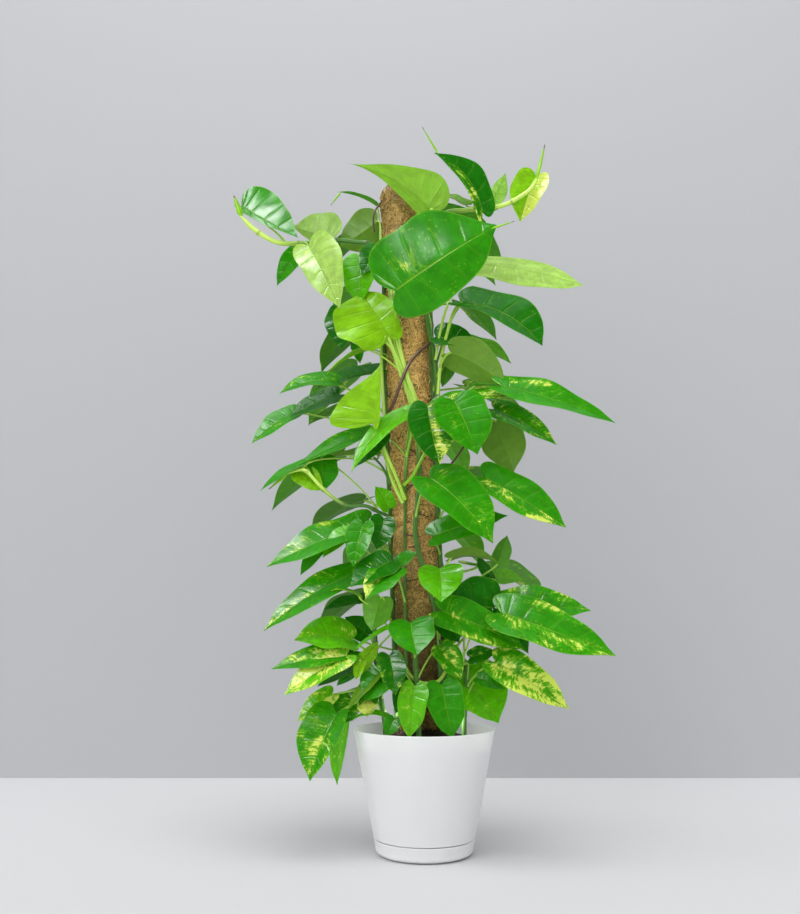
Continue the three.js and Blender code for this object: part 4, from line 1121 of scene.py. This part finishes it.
def stalk_start(leaf, sheet, path):
    """The point of a stem's path that a leaf stalk grows from."""
    if leaf.root:
        aim = sighted(leaf.root)
        return min(path, key=lambda p: (p - aim).length)
    least, most = 12, 85
    reach = math.hypot(sheet.start.x - path[0].x, sheet.start.y - path[0].y)
    height = leaf.start or sheet.start.z - min(most, max(least, 0.55 * reach))
    return min(path, key=lambda p: abs(p.z - height))


def stalk_tube(leaf, path, plant):
    """The leaf stalk: up and out from a sheathed foot on the stem, then over into the blade from below."""
    sheet = Sheet(leaf)
    first = stalk_start(leaf, sheet, path)
    last = sheet.midrib(0.03) - sheet.above(0) * 0.6
    span = (last - first).length
    out = Vector((last.x - first.x, last.y - first.y, 0)).normalized()
    arrives = (sheet.along + sheet.above(0) * 0.9).normalized()
    c1 = first + out * 0.12 * span + Vector((0, 0, 0.28 * span))
    c2 = last - arrives * 0.24 * span
    radius = leaf.stalk or min(2.2, 1.0 + sheet.length / 140, span / 16)
    points, radii, colours = [], [], []
    steps = 16
    green = Vector(getattr(plant, leaf.tone)) * 0.35 + Vector(plant.stem) * 0.65
    for t in (k / steps for k in range(steps + 1)):
        points.append(
            (first * (1 - t) ** 3 + c1 * 3 * t * (1 - t) ** 2 + c2 * 3 * t**2 * (1 - t) + last * t**3) * MM
        )
        sheath = 0.45 * bell(t, 0.12)
        knee = 0.25 * bell(t - 0.93, 0.05)
        narrowing = 1 - 0.55 * max(0, (t - 0.96) / 0.04)
        radii.append(radius * (0.82 + sheath + knee) * narrowing * MM)
        colours.append(tuple(green * (1 + 0.5 * knee)))
    return Tube(points, radii, colours)


def stem_tube(path, radius, plant, nodes, fresh_end, thin_below=0):
    """A stem with a ring at each node, a pale end of a given length and a thin tip.

    It may be thinner and darker below a height.
    """
    ring, thin_tip, fade = 3.2, 26, 90
    way = distances(path)
    radii, colours = [], []
    for p, w in zip(path, way):
        near = min((abs(w - n) for n in nodes), default=99)
        end = min(1.0, (way[-1] - w) / thin_tip + 0.35)
        old = clamped((thin_below - p.z) / fade)
        radii.append(radius * (0.94 + 0.28 * bell(near, ring)) * end * (1 - 0.5 * old) * MM)
        fresh = max(clamped((fresh_end - way[-1] + w) / 50), (1 - old) if thin_below else 0)
        green = Vector(plant.cane) * (1 - fresh) + Vector(plant.stem) * fresh
        brown = 0.55 * bell(near, ring / 2)
        colours.append(tuple(green * (1 - brown) + Vector(plant.root) * brown))
    return Tube([p * MM for p in path], radii, colours)


def node_places(path, gap, seed):
    """Distances along a stem at which it has a node."""
    total = distances(path)[-1]
    draw = random.Random(seed)
    places, at = [], gap * 0.7
    while at < total - 10:
        places.append(at)
        at += gap * draw.uniform(0.8, 1.2)
    return places


def bud_tube(first, last, radius, plant):
    """A rolled young leaf."""
    steps, dry = 12, 10
    points, radii, colours = [], [], []
    for k in range(steps + 1):
        t = k / steps
        points.append(first.lerp(last, t) * MM)
        swell = min(1.0, t / 0.2) * (1 - t) ** 0.55 * 1.12
        radii.append(max(radius * swell, 0.25) * MM)
        colours.append(tuple(plant.root if k > dry else Vector(plant.lime) * (1.1 - 0.3 * t)))
    return Tube(points, radii, colours)


def root_tubes(path, places, draw, plant, pole):
    """Aerial roots that leave a stem at its nodes and run round over the coir, most of them downwards."""
    steps, far_out, soil_line, thick = 7, 45, 180, 1.1
    tubes = []
    way = distances(path)
    for place in places:
        start = path[min(range(len(way)), key=lambda k: abs(way[k] - place))]
        axis = pole_axis(start.z * MM, pole) / MM
        if math.hypot(start.x - axis.x, start.y - axis.y) > far_out or start.z < soil_line:
            continue
        bearing = math.atan2(start.y - axis.y, start.x - axis.x)
        length, spin = draw.uniform(14, 40), draw.choice((-1, 1)) * draw.uniform(0.4, 1.1)
        fall = draw.uniform(-0.7, 0.25)
        points = [start * MM]
        for t in (k / steps for k in range(1, steps + 1)):
            here = pole_axis((start.z + fall * length * t) * MM, pole) / MM
            reach = pole.radius / MM + 0.6 + (STEM_RADIUS + STEM_CLEAR) * (1 - t) ** 2
            points.append((here + around(bearing + spin * length * t / 29) * reach) * MM)
        radii = [thick * MM * (1 - 0.7 * k / steps) for k in range(steps + 1)]
        tubes.append(Tube(points, radii, [tuple(plant.root)] * (steps + 1)))
    return tubes


# Half of the blade's outline from the foot round the lobe to the tip, as (share of length, share of half
# width, where its side vein leaves the midrib).
OUTLINE = [
    (0.010, 0.02, 0.0), (-0.045, 0.14, 0.004), (-0.095, 0.42, 0.012), (-0.045, 0.76, 0.03),
    (0.09, 0.96, 0.08), (0.26, 1.0, 0.19), (0.48, 0.94, 0.38), (0.67, 0.74, 0.57), (0.82, 0.44, 0.74),
    (0.92, 0.17, 0.88), (0.999, 0.006, 1.0),
]
ACROSS = (0.0, 0.05, 0.15, 0.3, 0.47, 0.66, 0.84, 1.0)
ROWS_PER_PIECE = 6
# How far the midrib stands out below, by the share across at which it does so.
MIDRIB = {0.0: 2.2, 0.05: 0.9}


def blade_shape():
    """A flat closed blade of length 1 and half width 1, whose rows run along the side veins.

    The height of a point is its share of the thickness. The midrib is sunk above and stands out below.
    """
    rim = smooth_path(OUTLINE, ROWS_PER_PIECE)
    signed = [-r for r in reversed(ACROSS[1:])] + list(ACROSS)
    rows, columns = len(rim), len(signed)
    points, veins = [], []
    for under in (False, True):
        for i, (u, v, rib) in enumerate(rim):
            s = i / (rows - 1)
            for r in signed:
                across = abs(r)
                height = 0.5 - 0.2 * across**4
                if under:
                    height = -height - MIDRIB.get(across, 0.0) * (1.1 - s)
                elif across == 0:
                    height = 0.1
                points.append((rib + (u - rib) * across**1.25, v * r, height))
                veins.append((s, r, 0.0))
    sheet = rows * columns
    faces, beneath = [], []
    for i in range(rows - 1):
        for j in range(columns - 1):
            a = i * columns + j
            faces += [(a, a + columns, a + columns + 1, a + 1)]
            faces += [(sheet + a, sheet + a + 1, sheet + a + columns + 1, sheet + a + columns)]
            beneath += [False, True]
    border = (
        list(range(columns))
        + [i * columns + columns - 1 for i in range(1, rows)]
        + [(rows - 1) * columns + j for j in range(columns - 2, -1, -1)]
        + [i * columns for i in range(rows - 2, 0, -1)]
    )
    for a, b in zip(border, border[1:] + border[:1]):
        faces.append((a, b, sheet + b, sheet + a))
        beneath.append(False)
    mesh = bpy.data.meshes.new("blade_shape")
    mesh.from_pydata(points, [], faces)
    mesh.shade_smooth()
    mesh.attributes.new("share", "FLOAT_VECTOR", "POINT").data.foreach_set("vector", np.ravel(points))
    mesh.attributes.new("vein", "FLOAT_VECTOR", "POINT").data.foreach_set("vector", np.ravel(veins))
    mesh.attributes.new("beneath", "BOOLEAN", "FACE").data.foreach_set("value", beneath)
    rim_points = set(border)
    ends = [tuple(edge.vertices) for edge in mesh.edges]
    sharp = [{a % sheet, b % sheet} <= rim_points and (a < sheet) == (b < sheet) for a, b in ends]
    mesh.attributes.new("sharp_edge", "BOOLEAN", "EDGE").data.foreach_set("value", sharp)
    return mesh


def leaf_points(name, leaves, plant):
    """One point for each leaf, which keeps where its blade stands, how it bends and how it is coloured."""
    mesh = bpy.data.meshes.new(name)
    mesh.from_pydata([(0, 0, 0)] * len(leaves), [], [])
    sheets = [Sheet(leaf) for leaf in leaves]
    kept = {
        "foot": [s.start * MM for s in sheets],
        "along": [s.along for s in sheets],
        "up": [s.up for s in sheets],
        "span": [(s.length * MM, s.halves[0] * MM, s.halves[1] * MM) for s in sheets],
        "form": [(s.bend, s.rise, leaf.late) for s, leaf in zip(sheets, leaves)],
        "bow": [(leaf.wave, s.sweep, leaf.taper) for s, leaf in zip(sheets, leaves)],
        "splash": [leaf.splash for leaf in leaves],
    }
    for label, values in kept.items():
        mesh.attributes.new(label, "FLOAT_VECTOR", "POINT").data.foreach_set("vector", np.ravel(values))
    tints = [(*getattr(plant, leaf.tone), 1.0) for leaf in leaves]
    mesh.attributes.new("tint", "FLOAT_COLOR", "POINT").data.foreach_set("color", np.ravel(tints))
    mesh.attributes.new("seed", "FLOAT", "POINT").data.foreach_set("value", [s.phase for s in sheets])
    return mesh


def blade_tree():
    """Stands a blade on each leaf point and bends it by that leaf's own numbers."""
    tree, inputs, made = geometry_group(
        "Pothos blades", ("Blade", "Object"), ("Thickness", "Float", 0.0006), ("Quilting", "Float", 0.005),
        ("Side veins", "Float", 8.0), ("Upper side", "Material"), ("Underside", "Material"),
    )

    def kept(name, kind="FLOAT_VECTOR"):
        return Field(step(tree, "InputNamedAttribute", {"Name": name}, data_type=kind))

    flat = add(tree, "GeometryNodeObjectInfo", {"Object": inputs["Blade"], "As Instance": True})
    links = {"Points": inputs["Geometry"], "Instance": flat.outputs["Geometry"]}
    real = step(tree, "RealizeInstances", {"Geometry": step(tree, "InstanceOnPoints", links)})

    share_along, share_across, share_thick = kept("share").parts()
    vein_row, vein_across, _ = kept("vein").parts()
    length, left, right = kept("span").parts()
    bend, rise, late = kept("form").parts()
    wave, sweep, taper = kept("bow").parts()
    along, up, phase = kept("along"), kept("up"), kept("seed", "FLOAT")
    side = up.cross(along)

    # The midrib lies on an arc, and the halves rise from it in a trough.
    on_left = share_across.above(0.0)
    u = share_along.at_least(0.0) ** late + share_along.at_most(0.0)
    uneven = ((u * 1.7 + phase * 3.0 + on_left * 0.4) * math.tau).sine() * 0.04 + 1.0
    half = (left * on_left + right * (1.0 - on_left)) * (1.0 - taper * u) * uneven
    turn = bend * (u - 0.5)
    radius = length / ((bend * 0.5).sine() * 2.0)
    above = along * turn.sine() + up * turn.cosine()
    width = share_across.size()
    soft_width = (width * width + 0.004) ** 0.5 - 0.063
    ripple_turn = (u * 1.4 + phase) * math.tau + on_left * 2.0
    ripple = wave * half * width * width * ripple_turn.sine() * 2.0
    quilt_turn = vein_row * Field(inputs["Side veins"]) * math.tau
    swell = vein_across.size() * (1.0 - vein_across.size()) * 4.0
    quilt = Field(inputs["Quilting"]) * half * swell * quilt_turn.cosine() * -1.0
    height = half * (soft_width - width * width * 0.35) * rise.sine() + ripple + quilt
    thick = share_thick * Field(inputs["Thickness"])

    place = (
        kept("foot")
        + along * (radius * (turn.sine() + (bend * 0.5).sine()))
        + up * (radius * (turn.cosine() - (bend * 0.5).cosine()))
        + side * (share_across * half * rise.cosine())
        + side * (length * sweep * (u - u * u))
        + above * (height + thick)
    )
    geometry = step(tree, "SetPosition", {"Geometry": real, "Position": place})
    for name in ("foot", "along", "up", "span", "form", "bow", "share"):
        geometry = step(tree, "RemoveAttribute", {"Geometry": geometry, "Name": name})
    upper = step(tree, "SetMaterial", {"Geometry": geometry, "Material": inputs["Upper side"]})
    lower = step(tree, "SetMaterial", {
        "Geometry": upper, "Selection": kept("beneath", "BOOLEAN"), "Material": inputs["Underside"],
    })
    tree.links.new(lower, made)
    return tree


# Colours of light streaks, of veins, of the haze on undersides and of light that comes through a blade.
STREAK, VEIN = (0.36, 0.74, 0.03, 1), (0.36, 0.66, 0.04, 1)
HAZE, GLOW = (0.30, 0.50, 0.09, 1), (0.24, 0.80, 0.01, 1)


def variegation_group():
    """The green of a leaf with its veins and its cream streaks, which run along the side veins."""
    tree, given, made = new_group(
        "Variegated leaf", "ShaderNodeTree",
        [
            ("Green", "Color"), ("Cream", "Color", (0.8, 0.8, 0.2, 1)), ("Splash", "Vector"),
            ("Vein", "Vector"), ("Seed", "Float"), ("Side veins", "Float", 8.0),
        ],
        [("Colour", "Color"), ("Height", "Float"), ("Cream share", "Float")],
    )
    inputs = {name: Field(given.outputs[name]) for name in ("Splash", "Vein", "Seed", "Side veins")}
    green = Field(given.outputs["Green"])
    row, across, _ = inputs["Vein"].parts()
    left, right, lean = inputs["Splash"].parts()
    reach = across.size()
    seed = inputs["Seed"] * 91.0

    def streaks(along, outward, detail, offset):
        spot = combine(tree, row * along, across * outward, seed + offset)
        return noise_at(tree, spot, 1.0, detail, 0.6)

    fine = streaks(58.0, 3.0, 2.5, 3.0)
    broad = streaks(7.0, 1.6, 1.5, 17.0)
    speck = streaks(120.0, 16.0, 2.0, 29.0)
    dash = streaks(64.0, 14.0, 1.0, 61.0)
    on_left = across.above(0.0)
    amount = left * on_left + right * (1.0 - on_left)
    amount = amount * (1.0 + lean * (row * 2.0 - 1.0))
    signal = broad * 0.5 + fine * 0.36 + speck * 0.14
    edge = 0.68 - amount * 0.27
    cream_share = (signal - edge).ramp(-0.02, 0.035)
    lime_share = ((signal - edge).ramp(-0.09, 0.0) * amount.ramp(0.0, 0.12)).at_least(
        (dash + amount * 0.12).ramp(0.66, 0.70) * (broad + amount * 0.3).ramp(0.42, 0.6)
    )

    vein_turn = row * inputs["Side veins"] * math.tau
    crest = (vein_turn.cosine() * 0.5 + 0.5) ** 24.0
    side_vein = crest * reach.ramp(0.02, 0.12) * (1.0 - reach.ramp(0.7, 1.0))
    midrib = 1.0 - reach.ramp(0.008, 0.03)
    cells = streaks(150.0, 60.0, 1.0, 41.0)

    # Leaf tissue is unevenly green, and lighter along its veins.
    ribs = streaks(120.0, 1.6, 2.5, 71.0).ramp(0.25, 0.75, 0.93, 1.07)
    tissue = streaks(14.0, 3.0, 3.0, 53.0).ramp(0.3, 0.7, 0.84, 1.14) * ribs
    tone = rgb(tree, tissue, tissue, tissue)
    body = mixed(tree, 1.0, green, tone, "MULTIPLY")
    lighter = mixed(tree, 1.0, mixed(tree, 0.6, green, STREAK), tone, "MULTIPLY")
    body = mixed(tree, lime_share * 0.8, body, lighter)
    body = mixed(tree, cream_share * 0.92, body, given.outputs["Cream"])
    # The pale band along the rim is a painted highlight on the blade's edge.
    border = reach.ramp(0.95, 1.0) * 0.35
    colour = mixed(tree, (midrib * 0.6 + side_vein * 0.08 + border).at_most(1.0), body, VEIN)
    height = cells * 0.1 - side_vein * 0.5 - midrib * 0.6 + tissue * 0.3
    for name, field in (("Colour", colour), ("Height", height), ("Cream share", cream_share)):
        tree.links.new(field.socket, made.inputs[name])
    return tree


def leaf_material(name, plant, group, underside):
    """A leaf's upper side is glossy. Its underside is paler, duller and more veined."""
    material, tree, shader = new_material(name, IOR=1.45, Specular_IOR_Level=0.3)
    pattern = add(tree, "ShaderNodeGroup", node_tree=group)
    pattern.inputs["Cream"].default_value = opaque(plant.cream)
    for label, kept, output in (
        ("Green", "tint", "Color"), ("Splash", "splash", "Vector"), ("Vein", "vein", "Vector"),
        ("Seed", "seed", "Fac"),
    ):
        link(tree, attribute(tree, kept, output), pattern.inputs[label])
    colour = Field(pattern.outputs["Colour"])
    height = Field(pattern.outputs["Height"])
    cream = Field(pattern.outputs["Cream share"])
    if underside:
        colour = mixed(tree, 0.35, colour, HAZE)
        coat(tree, shader, colour, cream.ramp(0, 1, 0.46, 0.5))
        bumped(tree, shader, height * -1.0, 0.0006)
    else:
        coat(tree, shader, colour, (height * 0.06 + 0.22).at_least(0.16))
        bumped(tree, shader, height, 0.0008)
    glow = add(tree, "ShaderNodeBsdfTranslucent", {"Color": mixed(tree, 0.5, colour, GLOW)})
    both = add(tree, "ShaderNodeMixShader", {0: 0.3, 1: shader.outputs[0], 2: glow.outputs[0]})
    tree.links.new(both.outputs[0], tree.nodes["Material Output"].inputs["Surface"])
    return material


def stem_material():
    """Stems and stalks: their own green with pale stripes along them."""
    material, tree, shader = new_material("green stem", IOR=1.42)
    turn, way = attribute(tree, "turn") * math.tau, attribute(tree, "way")
    spot = combine(tree, turn.sine() * 1.6, turn.cosine() * 1.6, way * 6.0)
    stripes = noise_at(tree, spot, 1.6, 3.0)
    tint = attribute(tree, "tint", "Color")
    pale = mixed(tree, 1.0, tint, (1.25, 1.12, 1.7, 1), "MULTIPLY")
    dark = mixed(tree, 1.0, tint, (0.6, 0.74, 0.45, 1), "MULTIPLY")
    coat(tree, shader, mixed(tree, stripes.ramp(0.42, 0.56), dark, pale), stripes.ramp(0.3, 0.7, 0.34, 0.48))
    bumped(tree, shader, stripes, 0.0003)
    return material


# ---------------------------------------------------------------------------------------------
# Operators


class POTHOS_OT_pot(bpy.types.Operator):
    """Mould the pot and its clip-on saucer"""

    bl_idname = "pothos.pot"
    bl_label = "Pot and Saucer"

    def execute(self, context):
        settings = context.scene.pothos_pot
        plastic = pot_material(settings)
        finish_piece(placed("pot_shell", make_pot(settings), plastic), "pot", "pot")
        finish_piece(placed("saucer_shell", make_saucer(settings), plastic), "pot", "saucer")
        return {"FINISHED"}


class POTHOS_OT_soil(bpy.types.Operator):
    """Fill the pot with soil and crumbs"""

    bl_idname = "pothos.soil"
    bl_label = "Soil"

    def execute(self, context):
        settings = context.scene.pothos_pot
        earth = soil_material(settings)
        bed = placed("soil_bed", make_soil_bed(settings), earth)
        finish_piece(bed, "soil", "soil")
        surface = bed.data.copy()
        keep_upper_faces(surface, 0.5)
        crumb = bmesh.new()
        bmesh.ops.create_icosphere(crumb, subdivisions=1, radius=0.0016)
        draw = random.Random(3)
        for v in crumb.verts:
            v.co *= draw.uniform(0.7, 1.3)
        shape = linked("crumb_shape", as_mesh("crumb_shape", crumb))
        crumbs = evaluated("soil_crumbs", scatter_tree(), surface, {
            "Shape": shape, "Count per area": 130000.0, "Seed": 6, "Least size": 0.35, "Most size": 1.5,
            "Lean": 1.5, "Finish": earth,
        })
        bpy.data.objects.remove(shape)
        finish_piece(crumbs, "soil")
        return {"FINISHED"}


class POTHOS_OT_pole(bpy.types.Operator):
    """Wind the coir sleeve: its matted core, loose fibres and binding thread"""

    bl_idname = "pothos.pole"
    bl_label = "Coir Pole"

    def execute(self, context):
        settings = context.scene.pothos_pole
        matted = coir_material("matted coir", settings, loose=False)
        loose = coir_material("loose coir fibre", settings, loose=True)
        core = placed("coir_core", make_coir_core(settings), matted)
        finish_piece(core, "coir", "coir_sleeve")
        strands = fibre_tree()
        area = 2 * math.pi * settings.radius * (COIR_HIGH.z - COIR_LOW.z)
        for name, length, seed, bend in (("coir_fibres", 0.024, 2, 0.010), ("coir_curls", 0.013, 5, -0.016)):
            fibres = evaluated(name, strands, core.data.copy(), {
                "Count per area": settings.fibres / 2 / area, "Length": length, "Bend": bend, "Seed": seed,
                "Finish": loose,
            })
            finish_piece(fibres, "coir")
        thread, tree, shader = new_material("binding thread")
        coat(tree, shader, attribute(tree, "tint", "Color"), object_noise(tree, 700).ramp(0.3, 0.7, 0.5, 0.7))
        lines = thread_lines(settings)
        wound = evaluated("binding_thread", tube_tree(), lines, {"Sides": 6, "Finish": thread})
        finish_piece(wound, "coir")
        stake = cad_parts["pole_stake"]
        wood, tree, shader = new_material("turned wood")
        grain = object_noise(tree, 60, 5)
        brown = mixed(tree, grain.ramp(0.35, 0.65), (0.28, 0.16, 0.07, 1), (0.5, 0.33, 0.17, 1))
        coat(tree, shader, brown, grain.ramp(0.3, 0.7, 0.6, 0.8))
        bumped(tree, shader, grain, 0.0003)
        stake.material_slots[0].material = wood
        return {"FINISHED"}


class POTHOS_OT_vines(bpy.types.Operator):
    """Grow every stem with its stalks, aerial roots, rolled leaves and blades"""

    bl_idname = "pothos.vines"
    bl_label = "Vines"

    def execute(self, context):
        plant, pole = context.scene.pothos_plant, context.scene.pothos_pole
        group = variegation_group()
        upper = leaf_material("leaf upper side", plant, group, underside=False)
        lower = leaf_material("leaf underside", plant, group, underside=True)
        bark = stem_material()
        blades, tubes = blade_tree(), tube_tree()
        shape = placed("blade_shape", blade_shape(), upper)
        leaves = {**LEAVES, **back_leaves(pole)}
        for number, (name, stem) in enumerate(STEMS.items()):
            foliage = evaluated(f"{name}_blades", blades, leaf_points(name, leaves[name], plant), {
                "Blade": shape, "Thickness": plant.thickness, "Quilting": plant.quilting,
                "Upper side": upper, "Underside": lower,
            })
            finish_piece(foliage, "leaf", f"vine_{name}")
            lines = tube_lines(name, self.stem_tubes(name, stem, leaves[name], plant, pole, number))
            finish_piece(evaluated(f"{name}_stems", tubes, lines, {"Sides": 9, "Finish": bark}), "leaf")
        bpy.data.objects.remove(shape)
        return {"FINISHED"}

    @staticmethod
    def stem_tubes(name, stem, leaves, plant, pole, number):
        """Every tube of one vine."""
        path = stem_path(stem, pole)
        places = node_places(path, NODE_GAP, number + 1)
        radius, fresh = stem.get("radius", STEM_RADIUS), stem.get("fresh", 60)
        made = [stem_tube(path, radius, plant, places, fresh, stem.get("thin_below", 0))]
        for radius, tone, points in STRANDS.get(name, []):
            made.append(plain_tube([p * MM for p in sighted_path(points)], radius * MM, getattr(plant, tone)))
        made += root_tubes(path, places, random.Random(number + 40), plant, pole)
        reach = list(path)
        if "bud" in stem:
            end, radius = stem["bud"]
            made.append(bud_tube(path[-4], sighted(end), radius, plant))
        if "branch" in stem:
            branch = sighted_path(stem["branch"])
            made.append(stem_tube(branch, 2.4, plant, node_places(branch, YOUNG_NODE_GAP, 70), 100))
            end, radius = stem["branch_bud"]
            made.append(bud_tube(branch[-2], sighted(end), radius, plant))
            reach += branch
        for leaf in leaves:
            made.append(stalk_tube(leaf, reach, plant))
            if leaf.drip:
                made.append(bud_tube(Sheet(leaf).midrib(0.94), sighted(leaf.drip), 1.6, plant))
        return made


class POTHOS_OT_stage(bpy.types.Operator):
    """Set the floor, the backdrop, the lights and the camera"""

    bl_idname = "pothos.stage"
    bl_label = "Stage"

    def execute(self, context):
        settings = context.scene.pothos_stage
        far, back = 4, settings.wall_distance
        floor = [(-far, -far, 0), (far, -far, 0), (far, far, 0), (-far, far, 0)]
        wall = [(-far, back, 0), (far, back, 0), (far, back, far), (-far, back, far)]
        flat_sheet("stage_floor", floor, stage_material("floor", settings.floor, one_sided=False))
        flat_sheet("stage_backdrop", wall, stage_material("backdrop", settings.wall, one_sided=True))
        for name, bearing, height, spread, strength in (
            ("key_light", -48, 20, 100, 1.0), ("top_light", 25, 76, 34, 1.1),
            ("side_light", -78, 10, 120, 1.0), ("fill_light", 16, 3, 120, 1.1),
        ):
            sun_light(name, bearing, height, spread, strength).visible_glossy = False
        sun_light("gloss_light", -34, 44, 12, 4.2).visible_diffuse = False
        sun_light("sheen_light", -60, 70, 20, 1.3).visible_diffuse = False
        soft_light("backdrop_light", (0, -0.2, 2.6), (0, back, 1.3), 1.6, 9)
        soft_light("left_bounce", (-0.03, -0.03, 0.17), (-0.09, 0.01, 0.16), 0.03, 0.03)
        soft_light("right_bounce", (0.03, -0.03, 0.17), (0.09, 0.01, 0.16), 0.03, 0.025)
        world = bpy.data.worlds.new("studio")
        context.scene.world = world
        world.use_nodes = True
        sky = world.node_tree.nodes["Background"].inputs
        sky["Color"].default_value = (0.9, 0.92, 0.95, 1)
        sky["Strength"].default_value = 0.47
        world.cycles_visibility.glossy = False
        context.scene.view_settings.view_transform = "Standard"
        add_camera(context.scene)
        return {"FINISHED"}


def keep_upper_faces(mesh, least):
    """Leaves only the faces of a mesh that look up."""
    shape = bmesh.new()
    shape.from_mesh(mesh)
    bmesh.ops.delete(shape, geom=[f for f in shape.faces if f.normal.z < least], context="FACES")
    shape.to_mesh(mesh)
    shape.free()


def stage_material(name, colour, one_sided):
    """A matt plain colour. The backdrop can be looked through from behind."""
    material, tree, shader = new_material(name, Roughness=0.8)
    shade = mixed(tree, object_noise(tree, 2, 1), opaque(colour), opaque(c * 0.99 for c in colour))
    link(tree, shade, shader.inputs["Base Color"])
    if one_sided:
        facing = add(tree, "ShaderNodeNewGeometry").outputs["Backfacing"]
        clear = add(tree, "ShaderNodeBsdfTransparent").outputs[0]
        both = add(tree, "ShaderNodeMixShader", {0: facing, 1: shader.outputs[0], 2: clear})
        tree.links.new(both.outputs[0], tree.nodes["Material Output"].inputs["Surface"])
    return material


def flat_sheet(name, corners, material):
    mesh = bpy.data.meshes.new(name)
    mesh.from_pydata(corners, [], [(0, 1, 2, 3)])
    return placed(name, mesh, material)


def sun_light(name, bearing, height, spread, strength):
    """A far soft light at a bearing from the front (+ is to the right) and a height, all in degrees."""
    data = bpy.data.lights.new(name, "SUN")
    data.energy, data.angle = strength, math.radians(spread)
    lamp = linked(name, data)
    lamp.rotation_euler = (math.radians(90 - height), 0, math.radians(bearing))
    return lamp


def soft_light(name, place, aim, size, power):
    """A round lamp at a place, turned to an aim."""
    data = bpy.data.lights.new(name, "AREA")
    data.shape, data.size, data.energy = "DISK", size, power
    lamp = linked(name, data)
    lamp.visible_camera = False
    lamp.location = place
    lamp.rotation_euler = (Vector(aim) - Vector(place)).to_track_quat("-Z", "Y").to_euler()


CAMERA_PITCH = math.radians(8.7)
CAMERA_LENS = 39.39


def add_camera(scene):
    data = bpy.data.cameras.new("camera")
    data.lens, data.sensor_width = CAMERA_LENS, 36
    camera = linked("camera", data)
    camera.location = SIGHTING * MM
    camera.rotation_euler = (math.pi / 2 + CAMERA_PITCH, 0, 0)
    scene.camera = camera


class POTHOS_PT_panel(bpy.types.Panel):
    """Lists the pieces of the pothos and their settings"""

    bl_idname = "POTHOS_PT_panel"
    bl_label = "Pothos"
    bl_space_type = "VIEW_3D"
    bl_region_type = "UI"
    bl_category = "Pothos"

    def draw(self, context):
        for name, label, _, operators in PARTS:
            box = self.layout.box()
            box.label(text=label)
            settings = getattr(context.scene, name)
            for key in settings.__annotations__:
                box.prop(settings, key)
            for operator in operators:
                box.operator(operator.bl_idname)


# Each part of the scene: where its settings are kept, its label, its settings and its operators.
PARTS = (
    ("pothos_pot", "Pot", PotSettings, (POTHOS_OT_pot, POTHOS_OT_soil)),
    ("pothos_pole", "Pole", PoleSettings, (POTHOS_OT_pole,)),
    ("pothos_plant", "Plant", PlantSettings, (POTHOS_OT_vines,)),
    ("pothos_stage", "Stage", StageSettings, (POTHOS_OT_stage,)),
)
CLASSES = [cls for _, _, settings, operators in PARTS for cls in (settings, *operators)] + [POTHOS_PT_panel]


def register():
    for cls in CLASSES:
        bpy.utils.register_class(cls)
    for name, _, settings, _ in PARTS:
        setattr(bpy.types.Scene, name, bpy.props.PointerProperty(type=settings))


def unregister():
    for name, *_ in PARTS:
        delattr(bpy.types.Scene, name)
    for cls in reversed(CLASSES):
        bpy.utils.unregister_class(cls)


def main():
    register()
    bpy.ops.pothos.pot()
    bpy.ops.pothos.soil()
    bpy.ops.pothos.pole()
    bpy.ops.pothos.vines()
    bpy.ops.pothos.stage()


if __name__ == "__main__":
    main()
